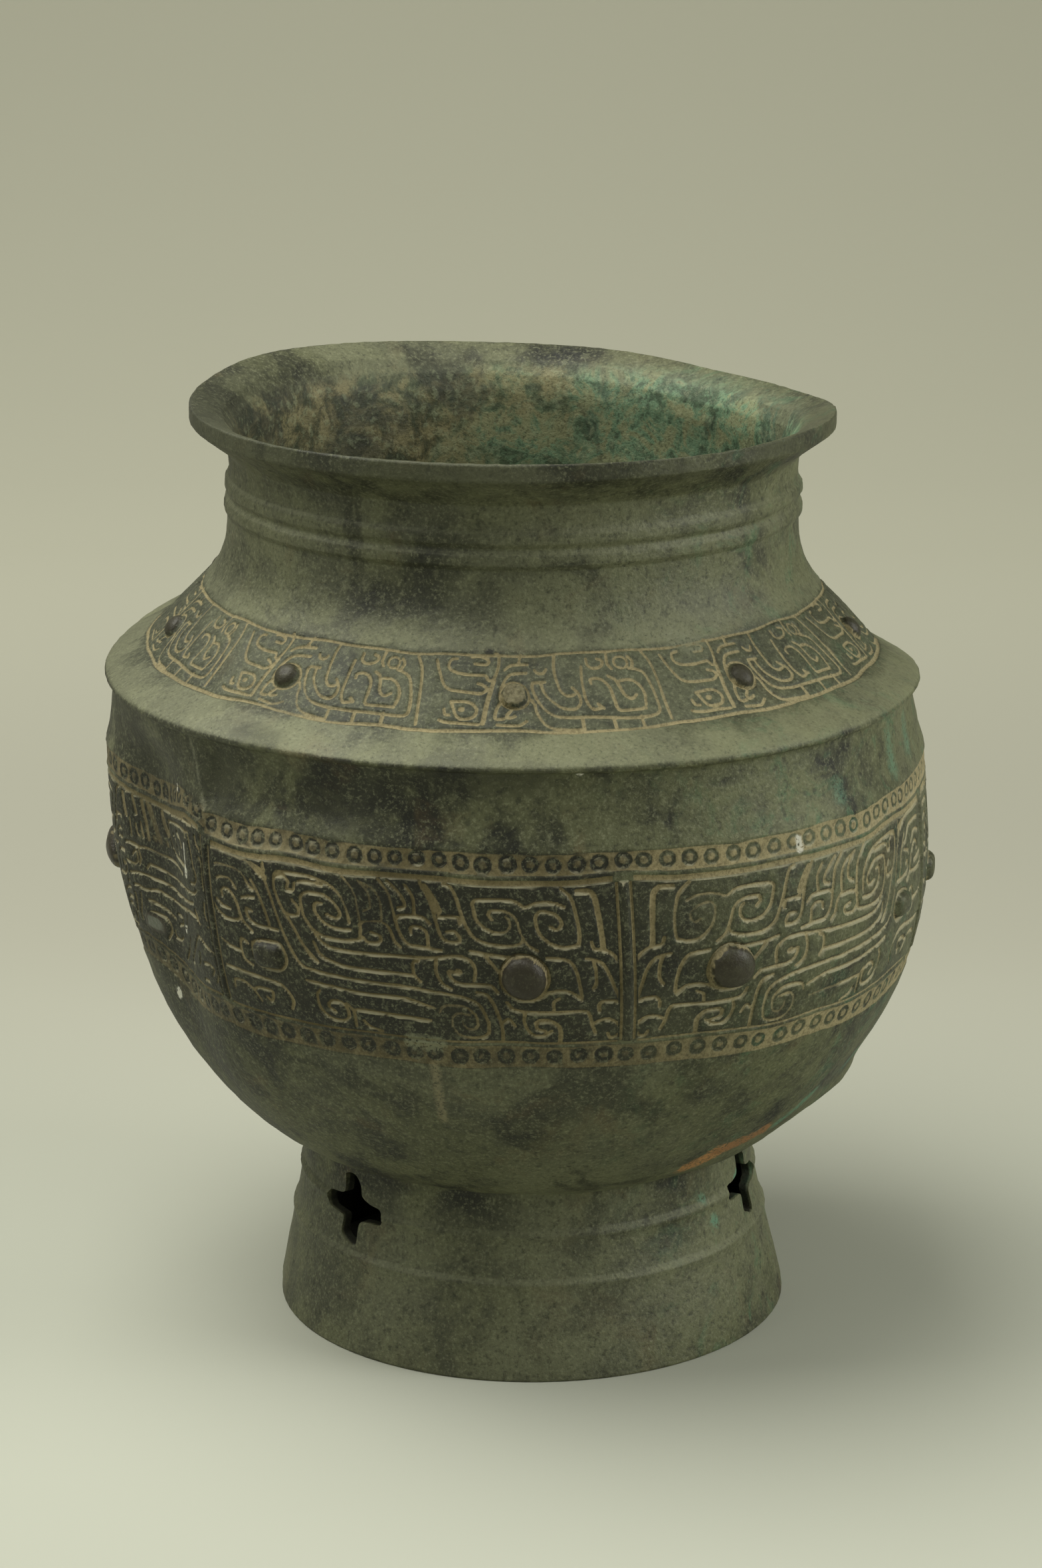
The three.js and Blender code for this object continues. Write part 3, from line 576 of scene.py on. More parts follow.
def belt(azimuth, z):
    """Relief of the mask band and its ring rows: height, soil, dark plateau, and bare metal."""
    past = (math.radians(SEAM_DEGREES) - azimuth) * MASK_RADIUS
    on_left = (past > 0) & (past < PANEL_REACH)
    in_left = (past > 0) & (past < LEFT_REACH)
    share = np.clip((z - ZONE_FOOT_Z) / (ZONE_TOP_Z - ZONE_FOOT_Z), 0, 1)
    rise = np.interp(past, *LEFT_TOP_RISE) * share + np.interp(past, *LEFT_FOOT_RISE) * (1 - share)
    level = MASK_DATUM_Z - z
    z = z - rise * on_left + 0.25 * hand_waves_up.at(azimuth, z)
    turn = (azimuth - math.radians(SEAM_DEGREES)) % math.radians(120)
    u = turn * MASK_RADIUS
    mirrored = u > MASK_HALF
    from_nose = np.where(mirrored, u - MASK_HALF, MASK_HALF - u)
    near_seam = bump(from_nose - 122, 16) * mirrored
    wider = 1.2 * smoothstep(from_nose, 0, 38) * (1 - smoothstep(from_nose, 45, 85)) - 3.3 * near_seam
    half = MASK_HALF - from_nose + np.where(mirrored, wider, 0)
    half = np.where(on_left, past + 18 * (1 - smoothstep(past, 80, 125)), half)
    v = MASK_DATUM_Z - z + 3.3 * near_seam * bump(MASK_DATUM_Z - 36 - z, 20)
    wander = 0.3 * hand_waves.at(azimuth, z)
    groove = np.where(in_left, left_panel.at(past, level), mask.at(half + wander, v))
    in_band = between(v, 4.2, 4.9, 59, 59.6)
    worn = smoothstep(wear_waves.at(azimuth, z), 0.7, 1.9)
    worn = np.maximum(worn, bump(half - 8, 16) * bump(v - 58, 9) * 0.8 * (~mirrored))
    strength = 0.86 - 0.5 * worn
    height = -0.72 * groove * strength * in_band
    soil = groove * in_band * (1 - 0.4 * worn)
    half = np.where(in_left, past, half)

    # the lines above and below the band
    border = np.maximum(between(v, 2.2, 2.8, 4.1, 4.8), between(v, 59, 59.5, 59.9, 60.4))
    height -= 0.6 * border
    soil = np.maximum(soil, 0.9 * border)

    # the nose ridge, the seams and the grooves beside them
    ridge = smoothstep(-from_nose, -1.7, -0.7) * in_band
    nose_groove = between(from_nose, 1.5, 2, 2.4, 3) * in_band
    height = np.where(from_nose < 3, -0.5 * nose_groove + 1.15 * ridge, height)
    soil = np.where(from_nose < 3, np.maximum(nose_groove, 0.25 * ridge), soil)
    seam = smoothstep(-half, -1.25, -0.6) * in_band
    seam_groove = between(half, 1, 1.5, 2, 2.6) * in_band
    height = np.where(half < 2.6, -0.6 * seam_groove + 0.5 * seam, height)
    soil = np.where(half < 2.6, 0.75 * seam_groove, soil)

    # eyes, the square bosses, and the worn patch that stands for one on the left
    away = np.hypot(half - EYE[0], v - EYE[1])
    dome = np.sqrt(np.clip(1 - (away / EYE_RADIUS) ** 2, 0, 1))
    front = np.abs(degrees_from(azimuth, NOSE_DEGREES)) < 60
    sunk = np.where(mirrored, 0.0, bump(away, 2.6) * 1.1) * front
    height = np.where(away < EYE_RADIUS, EYE_HEIGHT * dome**0.9 - sunk, height)
    soil = np.where(away < EYE_RADIUS - 0.4, 0.35 * sunk, soil)
    square = (np.abs(half - SQUARE_BOSS[0]) / 6.0) ** 3.2 + (np.abs(v - SQUARE_BOSS[1]) / 4.5) ** 3.2
    patch = (np.abs(past - WORN_PATCH[0]) / 7.6) ** 3 + (np.abs(level - WORN_PATCH[1]) / 3.6) ** 3
    square = np.where(in_left, patch, square)
    inner = np.clip(1 - square, 0, 1)
    height = np.where(square < 1, np.where(in_left, WORN_HEIGHT, SQUARE_HEIGHT) * inner**0.55, height)
    soil = np.where(square < 0.9, 0.0, soil)
    bare = np.where(away < EYE_RADIUS, 0.5, 0.0)
    bare = np.where(square < 1, np.where(in_left, inner, 0.2), bare)

    # ring rows
    upper = between(z - ZONE_TOP_Z, -7.9, -7.4, -0.6, 0)
    lower = between(z - ZONE_FOOT_Z, 0.1, 0.6, 8.4, 9)
    dusty = 0.26 * between(np.degrees(azimuth), 5, 50, 100, 130)
    for row, inside, seed, dust in ((UPPER_RINGS, upper, 11, 0.7), (LOWER_RINGS, lower, 12, 0.6)):
        ring = ring_row(z, azimuth, *row, seed)
        height -= inside * (0.28 + 0.45 * ring)
        soil = np.where(inside > 0.5, np.clip(dust + dusty - 1.5 * ring, 0, 1) * inside, soil)
    return height, soil, np.maximum(in_band, np.maximum(upper, lower)), bare


def dragons(azimuth, z):
    """Relief of the shoulder band."""
    even = azimuth + math.radians(FRONT_CROWDING_DEGREES) * np.sin(azimuth)
    turn = (even - math.radians(UNIT_START_DEGREES)) % math.radians(360 / DRAGONS)
    u = turn * UNIT_RADIUS
    v = (UNIT_DATUM_Z - z) / UNIT_FALL
    wander = 0.35 * hand_waves.at(azimuth, z)
    groove = shoulder.at(u + wander, v + 0.3 * hand_waves_up.at(azimuth, z))
    in_band = between(v, 1.2, 1.9, 31.3, 31.9)
    worn = smoothstep(wear_waves.at(azimuth + 1.7, z), 0.6, 2.0)
    height = -0.62 * groove * (0.9 - 0.5 * worn) * in_band
    soil = groove * in_band * (1 - 0.3 * worn)
    away = np.hypot(u - DRAGON_EYE[0], v - DRAGON_EYE[1])
    on_eye = away < DRAGON_EYE_RADIUS
    dome = DRAGON_EYE_HEIGHT * np.sqrt(np.clip(1 - (away / DRAGON_EYE_RADIUS) ** 2, 0, 1))
    broken = np.abs(degrees_from(azimuth, 0)) < 8
    stump = np.minimum(dome, 1.5 + 0.2 * fine_waves.at(azimuth * 3, z * 3))
    height = np.where(on_eye, np.where(broken, stump, dome), height)
    soil = np.where(away < 4.0, np.where(broken, 0.55, 0.0), soil)
    return height, soil, in_band, np.where(on_eye & ~broken, 0.4, 0.0)


def hammering(azimuth, z, radius):
    """Slow unevenness of the wall."""
    share = smoothstep(radius, 20, 90)
    return share * (0.22 * broad_waves.at(azimuth, z) + 0.05 * fine_waves.at(azimuth, z))


def settle(x, y, z):
    """The jar leans, its back has sunk on one side and risen on the other, and its wall is folded in."""
    azimuth = np.arctan2(x, -y)
    radius = np.hypot(x, y)
    outer = smoothstep(radius, 0, WALL_TOP_RADIUS)
    sag = bump(degrees_from(azimuth, 124), 34)
    rise = bump(degrees_from(azimuth, -132), 31)
    lip = smoothstep(z, FILLET_FOOT_Z + FILLET_WIDTH, TOP_Z)
    pinch = 5 * bump(degrees_from(azimuth, 110), 25) + 1.5 * bump(degrees_from(azimuth, -95), 25)
    pinch = pinch * bump(z - SHOULDER_Z, 12)
    flank = smoothstep(z, JOINT_Z + 10, JOINT_Z + 105)
    below_edge = 1 - smoothstep(z, ZONE_TOP_Z, SHOULDER_Z - SHOULDER_EDGE)
    flank_dent = 10 * bump(degrees_from(azimuth, -63), 10) * below_edge
    bulge = 6.8 * bump(degrees_from(azimuth, 38), 27) * (1 - smoothstep(z, ZONE_TOP_Z, BAND_TOP_Z))
    crease = 5.6 * bump(degrees_from(azimuth, 84), 18) * bump(z - JOINT_Z - 20.5, 8)
    right_of = degrees_from(azimuth, SEAM_DEGREES)
    fold = smoothstep(right_of, -1.2, 1.8) * bump(np.maximum(right_of - 12, 0), 17)
    fold = fold * bump(z - SHOULDER_Z + 17, 16) * (1 - 0.75 * smoothstep(z, SHOULDER_Z - 4, SHOULDER_Z))
    dented = pinch + 3.8 * fold + flank_dent * flank
    inward = 6.5 * sag * lip + (dented - bulge * flank - crease) * outer
    scale = np.where(radius > 0, (radius - inward) / np.maximum(radius, 1e-6), 1)
    lean = LEAN_AT_JOINT * np.minimum(z / JOINT_Z, 1)
    lean = lean + LEAN_ABOVE * smoothstep(z, (JOINT_Z + BELLY_Z) / 2, SHOULDER_Z)
    lean = lean - 1.1 * smoothstep(z, BAND_TOP_Z, TOP_Z)
    aged = smoothstep(z, ZONE_TOP_Z, SHOULDER_Z)
    return x * scale - lean, y * scale, z + (4.6 * rise - 4.3 * sag) * aged


# -------------------- the mesh
def choose_rows(s, line):
    """Which points of the dense outline become rows, and how fine each row is."""
    step = s[1] - s[0]
    outer_start = np.argmax(line[:, 0] > FOOT_RADIUS - 1.2)
    lip_top = np.argmax(line[:, 1])
    rows = []
    i = 0
    while i < len(s):
        r, z = line[i]
        outer = outer_start <= i <= lip_top
        pitch, small = 4.5, False
        if outer:
            pitch = 2.4
            if ZONE_FOOT_Z - 1.5 < z < ZONE_TOP_Z + 1.5 or BAND_FOOT_Z - 2 < z < BAND_TOP_Z + 2:
                pitch, small = FINE_PITCH, True
            elif z < 1.5 or abs(z - SHOULDER_Z) < 3.2 or z > FILLET_FOOT_Z - 1 or abs(z - JOINT_Z) < 2:
                pitch = 0.7
            elif min(abs(z - b) for b in BOWSTRINGS) < 2.8:
                pitch = 0.7
            elif z > ZONE_TOP_Z or JOINT_Z < z < ZONE_FOOT_Z:
                pitch = 1.8
        elif z > FLARE_Z or z < 3:
            pitch = 1
        rows.append((i, small))
        i += max(1, int(round(pitch / step)))
    return rows


def build_grid():
    """Vertices, faces and attributes of the whole jar before it is thinned."""
    s, line, normal = dense(profile())
    lip_top = np.argmax(line[:, 1])
    outer_start = np.argmax(line[:, 0] > FOOT_RADIUS - 1.2)
    points, values, starts, counts = [], [], [], []
    total = 0
    for i, small in choose_rows(s, line):
        r, z = line[i]
        if r < 1.0:
            continue
        count = COLUMNS if small else COLUMNS // COARSE_SHARE
        azimuth = wrapped(np.arange(count) * 2 * math.pi / count)
        zz = np.full(count, z)
        height = soil = plate = bare = np.zeros(count)
        outer = outer_start < i <= lip_top
        if outer and ZONE_FOOT_Z - 4 < z < ZONE_TOP_Z + 5:
            height, soil, plate, bare = belt(azimuth, zz)
        elif outer and BAND_FOOT_Z - 3 < z < BAND_TOP_Z + 3:
            height, soil, plate, bare = dragons(azimuth, zz)
        if 2 < z:
            height = height + hammering(azimuth, zz, r)
        radius = r + height * normal[i, 0]
        up = z + height * normal[i, 1]
        points.append(np.stack([radius * np.sin(azimuth), -radius * np.cos(azimuth), up], 1))
        values.append(np.stack([soil, plate, bare, np.full(count, 0.0 if outer else 1.0)]))
        starts.append(total)
        counts.append(count)
        total += count
    faces = []
    for a, b, na, nb in zip(starts[:-1], starts[1:], counts[:-1], counts[1:]):
        if na == nb:
            j = np.arange(na)
            k = (j + 1) % na
            faces.append(np.stack([a + j, a + k, b + k], 1))
            faces.append(np.stack([a + j, b + k, b + j], 1))
        else:
            coarse, fine_start = (a, b) if na < nb else (b, a)
            few, many = min(na, nb), max(na, nb)
            share = many // few
            j = np.arange(few)
            k = (j + 1) % few
            flip = na > nb
            parts = []
            for q in range(share):
                f0 = fine_start + j * share + q
                f1 = fine_start + (j * share + q + 1) % many
                near = coarse + (j if q < share / 2 else k)
                parts.append(np.stack([near, f1, f0], 1))
                if q == share // 2 - 1:
                    parts.append(np.stack([coarse + j, coarse + k, f1], 1))
            block = np.vstack(parts)
            faces.append(block[:, ::-1] if flip else block)
    low, high = total, total + 1
    points.append(np.array([[0, 0, line[0, 1]], [0, 0, line[-1, 1]]]))
    values.append(np.array([[0, 0], [0, 0], [0, 0], [1, 1]]))
    j = np.arange(counts[0])
    faces.append(np.stack([np.full(counts[0], low), starts[0] + (j + 1) % counts[0], starts[0] + j], 1))
    j = np.arange(counts[-1])
    faces.append(np.stack([np.full(counts[-1], high), starts[-1] + j, starts[-1] + (j + 1) % counts[-1]], 1))
    return np.vstack(points), np.vstack(faces), dict(zip(ATTRIBUTES, np.hstack(values)))


def points_of(mesh):
    points = np.zeros(len(mesh.vertices) * 3)
    mesh.vertices.foreach_get("co", points)
    return points.reshape(-1, 3)


def foot_centre():
    """The middle of the foot ring in the shared frame, from the CAD solid."""
    points = points_of(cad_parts["vessel"].data)
    ring = points[points[:, 2] < 1e-4]
    return (ring.min(0) + ring.max(0)) / 2


def linked(name, data):
    """A new object in the scene."""
    obj = bpy.data.objects.new(name, data)
    bpy.context.scene.collection.objects.link(obj)
    return obj


def mesh_object(name, points, faces, attributes):
    mesh = bpy.data.meshes.new(name)
    mesh.vertices.add(len(points))
    mesh.vertices.foreach_set("co", points.ravel())
    mesh.loops.add(faces.size)
    mesh.loops.foreach_set("vertex_index", faces.ravel())
    mesh.polygons.add(len(faces))
    mesh.polygons.foreach_set("loop_start", np.arange(0, faces.size, 3))
    mesh.update(calc_edges=True)
    for key, values in attributes.items():
        mesh.attributes.new(key, "FLOAT", "POINT").data.foreach_set("value", values.astype(np.float32))
    mesh.validate()
    return linked(name, mesh)


def applied(obj):
    """Turns an object's modifiers into its mesh."""
    depsgraph = bpy.context.evaluated_depsgraph_get()
    made = bpy.data.meshes.new_from_object(obj.evaluated_get(depsgraph))
    old = obj.data
    obj.modifiers.clear()
    obj.data = made
    bpy.data.meshes.remove(old)
    return obj


def cross_cutter(degrees, centre, seed):
    """A wedge with the cross's worn outline that passes through the foot's wall; seed 0 keeps the outline."""
    rng = np.random.default_rng(seed)
    points = np.vstack([row for _, row in lines_of(CROSS_OUTLINE)])
    points = points + rng.uniform(-0.45, 0.45, points.shape) * (seed > 0)
    closed = np.vstack([points, points[:1]])
    ring = curve_through(closed, 1.2)[:-1]
    azimuth = math.radians(degrees)
    turned = np.array([math.sin(azimuth), -math.cos(azimuth)])
    across = np.array([math.cos(azimuth), math.sin(azimuth)])
    layers = []
    for depth, grow in ((64, 0.94), (78, 0.96), (82.5, 1.0), (85.4, 1.07), (96, 1.5)):
        spread = ring * grow
        flat = turned[None, :] * depth + across[None, :] * spread[:, :1]
        layers.append(np.column_stack([flat, CROSS_Z + spread[:, 1]]))
    n = len(ring)
    faces = []
    for layer in range(len(layers) - 1):
        for j in range(n):
            k = (j + 1) % n
            a, b = layer * n, (layer + 1) * n
            faces.append((a + j, a + k, b + k, b + j))
    faces.append(tuple(range(n))[::-1])
    last = (len(layers) - 1) * n
    faces.append(tuple(last + j for j in range(n)))
    mesh = bpy.data.meshes.new("cutter")
    mesh.from_pydata((np.vstack(layers) * MM + centre).tolist(), [], faces)
    mesh.update()
    work = bmesh.new()
    work.from_mesh(mesh)
    bmesh.ops.recalc_face_normals(work, faces=work.faces)
    work.to_mesh(mesh)
    work.free()
    return linked("cutter", mesh)


def keep_inside_cad(mesh):
    """Moves back the few points that the thinning has pushed out of the CAD solid's box."""
    margin = np.array([1e-5, 1e-5, 0.0])
    points = np.clip(points_of(mesh), np.array(cad_low) + margin, np.array(cad_high) - margin)
    mesh.vertices.foreach_set("co", points.ravel())
    mesh.update()


def build_vessel():
    """The jar: relief and form as one mesh, thinned, with the crosses cut through its foot."""
    points, faces, attributes = build_grid()
    centre = foot_centre() * (1, 1, 0)
    placed = np.stack(settle(*points.T), 1) * MM + centre
    vessel = mesh_object("lei_vessel", placed, faces, attributes)
    thin = vessel.modifiers.new("thin", "DECIMATE")
    thin.ratio = min(1.0, MOST_TRIANGLES / len(faces))
    applied(vessel)
    cutters = []
    for seed, degrees in enumerate(CROSS_DEGREES):
        cutter = cross_cutter(degrees, centre, seed)
        cut = vessel.modifiers.new("cross", "BOOLEAN")
        cut.operation, cut.solver, cut.object = "DIFFERENCE", "EXACT", cutter
        cutters.append(cutter)
    applied(vessel)
    for cutter in cutters:
        bpy.data.objects.remove(cutter)
    mesh = vessel.data
    keep_inside_cad(mesh)
    mesh.polygons.foreach_set("use_smooth", np.ones(len(mesh.polygons), bool))
    mesh.set_sharp_from_angle(angle=math.radians(62))
    weigh = vessel.modifiers.new("weigh", "WEIGHTED_NORMAL")
    weigh.weight, weigh.keep_sharp = 60, True
    applied(vessel)
    return vessel


# -------------------- finish
def linear(*srgb):
    return tuple(((c / 255 + 0.055) / 1.055) ** 2.4 if c > 10 else c / 255 / 12.92 for c in srgb) + (1.0,)


class Nodes:
    """A short way to wire a node tree."""

    def __init__(self, tree):
        self.tree = tree
        self.where = self.new("ShaderNodeTexCoord").outputs["Object"]

    def feed(self, socket, value):
        if isinstance(value, bpy.types.NodeSocket):
            self.tree.links.new(value, socket)
        else:
            socket.default_value = value

    def new(self, kind, **inputs):
        """A node: "_name" sets a property, "i0" the first input, and other keys the inputs they name."""
        node = self.tree.nodes.new(kind)
        for key, value in inputs.items():
            if key.startswith("_"):
                setattr(node, key[1:], value)
            else:
                self.feed(node.inputs[int(key[1:]) if key[0] == "i" and key[1:].isdigit() else key], value)
        return node

    def noise(self, scale, detail, rough, warp=0.0):
        inputs = {"Scale": scale, "Detail": detail, "Roughness": rough, "Distortion": warp}
        return self.new("ShaderNodeTexNoise", Vector=self.where, **inputs).outputs["Fac"]

    def ramp(self, value, low, high):
        """0 at low and 1 at high, with a smooth rise between."""
        ends = {"From Min": low, "From Max": high}
        node = self.new("ShaderNodeMapRange", _interpolation_type="SMOOTHSTEP", Value=value, **ends)
        return node.outputs["Result"]

    def math(self, kind, a, b, clamp=False):
        return self.new("ShaderNodeMath", _operation=kind, _use_clamp=clamp, i0=a, i1=b).outputs["Value"]

    def plus(self, a, b):
        return self.math("ADD", a, b)

    def minus(self, a, b):
        return self.math("SUBTRACT", a, b)

    def times(self, a, b):
        return self.math("MULTIPLY", a, b)

    def part(self, share, *others):
        """The product of shares, kept between 0 and 1."""
        for other in others:
            share = self.math("MULTIPLY", share, other, True)
        return share

    def mix(self, share, a, b):
        node = self.new("ShaderNodeMix", _data_type="RGBA", i0=share, i6=a, i7=b)
        return node.outputs[2]

    def vector(self, kind, output, **inputs):
        return self.new("ShaderNodeVectorMath", _operation=kind, **inputs).outputs[output]

    def split(self, vector):
        return self.new("ShaderNodeSeparateXYZ", Vector=vector).outputs

    def streak(self, start, end, size, soft, warp):
        """1 near a line between two places on the jar, in metres, with an uneven edge."""
        run = Vector(end) - Vector(start)
        gone = self.vector("SUBTRACT", "Vector", i0=self.where, i1=start)
        along = self.vector("DOT_PRODUCT", "Value", i0=gone, i1=run)
        share = self.part(along, 1 / run.length_squared)
        nearest = self.vector("SCALE", "Vector", i0=run, Scale=share)
        away = self.vector("DISTANCE", "Value", i0=gone, i1=nearest)
        uneven = self.plus(away, self.times(self.minus(warp, 0.5), 1.6 * size))
        return self.ramp(uneven, size + soft, size - soft)


class Coats:
    """A colour made of coats, each one over the last."""

    def __init__(self, nodes, colour):
        self.nodes, self.colour = nodes, colour

    def over(self, share, strength, *srgb):
        self.colour = self.nodes.mix(self.nodes.part(share, strength), self.colour, linear(*srgb))


# Marks: colour, start and end in mm, then radius and soft edge in mm, and strength. Rust, green and tan marks are
# stains of age; the dark blotches by the fold on the left and just under the front of the shoulder edge are partly
# dark patina and partly painted shade, and the thin pale line on the fold's ridge is a painted highlight.
MARK_COLOURS = {
    "white": (206, 204, 188), "tan": (142, 132, 100), "pale": (120, 122, 96), "rust": (176, 128, 78),
    "deep": (146, 104, 62), "teal": (92, 136, 108), "dark": (24, 25, 16), "scratch": (138, 138, 114),
}
# the thin pale line by the fold on the left wall is a painted highlight on the lit side of the fold's ridge
MARKS = """
rust 58.5,-77.5,74.5 69,-79.5,81.2 4.8,1.6,0.95
deep 69,-79.5,81.2 83.3,-72.2,86.1 3.8,1.4,0.95
dark -98,-96.6,222.4 -96.5,-98,211.2 7,5,0.45
dark -65.9,-121.3,221.6 -57.6,-126.4,214.4 7,5,0.45
dark -128.1,-49.5,220 -128.1,-49.5,210 6,5,0.5
dark -88.8,-106.3,236.3 -80.4,-114.7,235.3 4,4,0.5
dark -28.5,-136.1,231 5.2,-139.6,229 5,5,0.45
scratch -108.3,-90.5,229 -103.7,-95.5,207.4 0.8,0.8,0.55
pale 52,-90.5,263.2 58,-88.5,262.2 4.2,2,0.55
rust 56,-88,265 60,-87,263 1,0.8,0.45
dark -9.8,-104.5,263.1 -9,-104.5,263.1 1.3,0.5,0.9
pale -34.5,-131,139 -26.1,-132.8,138.6 3,1,0.8
tan -27.2,-130.2,130 -24.7,-120.5,108 1.4,1.2,0.45
white 91,-116.3,203.4 91.2,-115.8,200 1.3,0.6,0.8
white 19,-138.1,232 19.5,-138.1,231.9 1.1,0.4,0.9
white -114.4,-76.6,209.8 -114.4,-76.6,208.5 1,0.4,0.9
white -111.6,-83.1,191.4 -111.3,-82.4,183 0.6,0.4,0.75
white -111.3,-82.2,182.2 -111.3,-81.8,180.4 1.3,0.5,0.9
white -112.9,-64.7,156.2 -112.9,-64.4,155 0.9,0.4,0.9
white -117.2,-47.5,127.8 -117,-46.6,126.4 1.7,0.5,0.9
teal 133,-45.2,224 133,-45.2,215 3.4,3,0.5
teal 105.7,-99.7,217 105.7,-99.7,213 2.6,2.4,0.45
teal 126.1,-64.9,224 126.1,-64.9,213 3.4,3,0.5
teal 88.7,-67.4,87.1 101.4,-63.7,96.9 2.6,1.8,0.7
teal 115,-42,99 119,-33,103 4,3,0.5
teal 76.9,-28.5,54.6 76.3,-31.2,52.2 1.4,0.8,0.8
teal 68,-48.6,44 69,-48,42.5 1.8,1.2,0.7
teal 62.9,-51.5,53.5 64,-50.8,52 1.6,1.2,0.5
"""


def patina():
    """The bronze: clouded olive, dark plateaus, soil in the grooves, the marks of age, and painted light and
    shade.
    """
    material = bpy.data.materials.new("bronze_patina")
    material.use_nodes = True
    material.node_tree.nodes.clear()
    n = Nodes(material.node_tree)
    x, y, z = n.split(n.where)
    facing = n.split(n.new("ShaderNodeNewGeometry").outputs["Normal"])["Z"]
    soil, plate, bare, inside = (
        n.new("ShaderNodeAttribute", _attribute_name=name).outputs["Fac"] for name in ATTRIBUTES
    )
    right = n.ramp(x, 0.01, 0.1)
    left = n.ramp(x, -0.08, -0.12)
    rim = n.ramp(z, 0.3145, 0.322)

    broad = n.noise(12, 3, 0.5, 0.4)
    clouds = n.noise(38, 5, 0.6, 0.5)
    patches = n.noise(27, 4, 0.6, 0.8)
    fleck = n.noise(330, 3, 0.65)
    grain = n.noise(850, 3, 0.7)

    base = Coats(n, n.mix(n.ramp(clouds, 0.38, 0.58), linear(24, 26, 15), linear(82, 84, 57)))
    base.over(n.ramp(broad, 0.42, 0.62), 0.6, 106, 108, 82)
    base.over(n.ramp(patches, 0.53, 0.64), 0.65, 22, 23, 14)
    # dark patina patches on the left side only, standing in for painted shade there as well
    base.over(n.part(left, n.ramp(patches, 0.32, 0.46)), 0.75, 28, 29, 19)
    # painted shade on the lower belly, where the wall faces down
    base.over(n.ramp(z, 0.15, 0.125), n.part(n.ramp(z, 0.07, 0.095), 0.25), 36, 38, 24)

    # reddish brown blooms, a tan and green film on the right, and a paler foot
    brown = n.ramp(n.noise(31, 5, 0.65, 0.6), 0.56, 0.74)
    base.over(brown, 0.4, 92, 74, 46)
    film = n.ramp(n.noise(50, 5, 0.65, 0.6), 0.36, 0.62)
    base.over(n.part(film, right), 0.5, 106, 110, 74)
    green = n.ramp(n.noise(58, 6, 0.7, 0.8), 0.52, 0.68)
    base.over(n.part(green, right), 0.5, 62, 104, 72)
    base.over(n.ramp(z, 0.064, 0.05), n.minus(0.4, n.part(right, 0.8)), 98, 100, 76)

    # the dark plateaus of the two bands, made less dark on the right side as painted light, and pale dust with
    # painted top light on what faces up
    shoulder_z = (SHOULDER_Z - 14) * MM
    in_belt = n.part(plate, n.ramp(z, shoulder_z, shoulder_z - 0.007))
    in_dragons = n.part(plate, n.ramp(z, shoulder_z, shoulder_z + 0.015))
    # painted light: the mask band's dark plateau coat is weaker on the right side
    base.over(n.minus(0.9, n.part(right, 0.65)), in_belt, 26, 26, 16)
    # pale dust on what faces up, also laid on as painted top light
    dust = n.part(n.ramp(facing, 0.3, 0.8), n.minus(1, n.math("MAXIMUM", rim, plate)))
    base.over(dust, 0.45, 132, 134, 103)
    base.over(in_dragons, 0.55, 66, 69, 50)

    # fine grain: pale crystals and dark pits
    base.over(n.ramp(grain, 0.5, 0.7), 0.42, 134, 136, 106)
    base.over(n.ramp(fleck, 0.55, 0.7), 0.3, 122, 124, 94)
    base.over(n.ramp(fleck, 0.46, 0.3), n.minus(0.5, n.part(dust, 0.4)), 24, 26, 16)
    base.over(n.ramp(grain, 0.45, 0.3), 0.5, 26, 28, 17)

    # worn metal on the bosses
    base.over(n.ramp(bare, 0.1, 0.45), 0.75, 46, 40, 27)
    base.over(n.part(n.ramp(bare, 0.52, 0.8), n.ramp(clouds, 0.3, 0.5)), 0.6, 100, 106, 92)

    # soil, and painted highlights and painted shade on the edges of what stands out of the mask band
    tone = Coats(n, n.mix(n.ramp(clouds, 0.35, 0.65), linear(104, 94, 62), linear(146, 134, 98)))
    # soil darker on the left side as painted shade and paler on the right as painted light
    tone.over(left, 0.45, 88, 82, 58)
    tone.over(right, 0.6, 164, 154, 116)
    tone.over(in_dragons, 0.6, 152, 142, 104)
    tone.over(n.ramp(grain, 0.56, 0.35), 0.5, 78, 70, 42)
    soil_share = n.part(n.ramp(soil, 0.3, 0.8), n.plus(0.6, n.part(patches, 0.7)))
    base.colour = n.mix(soil_share, base.colour, tone.colour)
    # painted highlight where an edge of the relief faces up, painted shade where it faces down
    tipped = n.plus(facing, n.times(n.ramp(z, 0.19, 0.118), 0.32))
    edged = n.part(in_belt, n.ramp(bare, 0.15, 0.0))
    base.over(n.part(edged, n.ramp(tipped, 0.12, 0.5)), 0.6, 172, 166, 134)
    base.over(n.part(edged, n.ramp(tipped, -0.12, -0.45)), 0.65, 28, 26, 16)

    # the inside: olive on the left, teal crust on the right, mottled throughout
    across = n.ramp(n.plus(x, n.times(n.minus(clouds, 0.5), 0.25)), -0.06, 0.07)
    moss = Coats(n, n.mix(across, linear(88, 84, 56), linear(108, 138, 106)))
    lumps = n.noise(90, 6, 0.7, 0.6)
    moss.over(n.ramp(lumps, 0.47, 0.58), 0.6, 146, 138, 98)
    moss.over(n.ramp(lumps, 0.5, 0.38), 0.7, 46, 56, 38)
    moss.over(n.ramp(patches, 0.5, 0.6), 0.6, 50, 54, 46)
    moss.over(n.ramp(fleck, 0.5, 0.66), 0.35, 150, 158, 122)
    moss.over(n.ramp(grain, 0.5, 0.34), 0.5, 44, 48, 30)
    base.colour = n.mix(n.part(inside, n.part(n.minus(1, rim), 0.95)), base.colour, moss.colour)
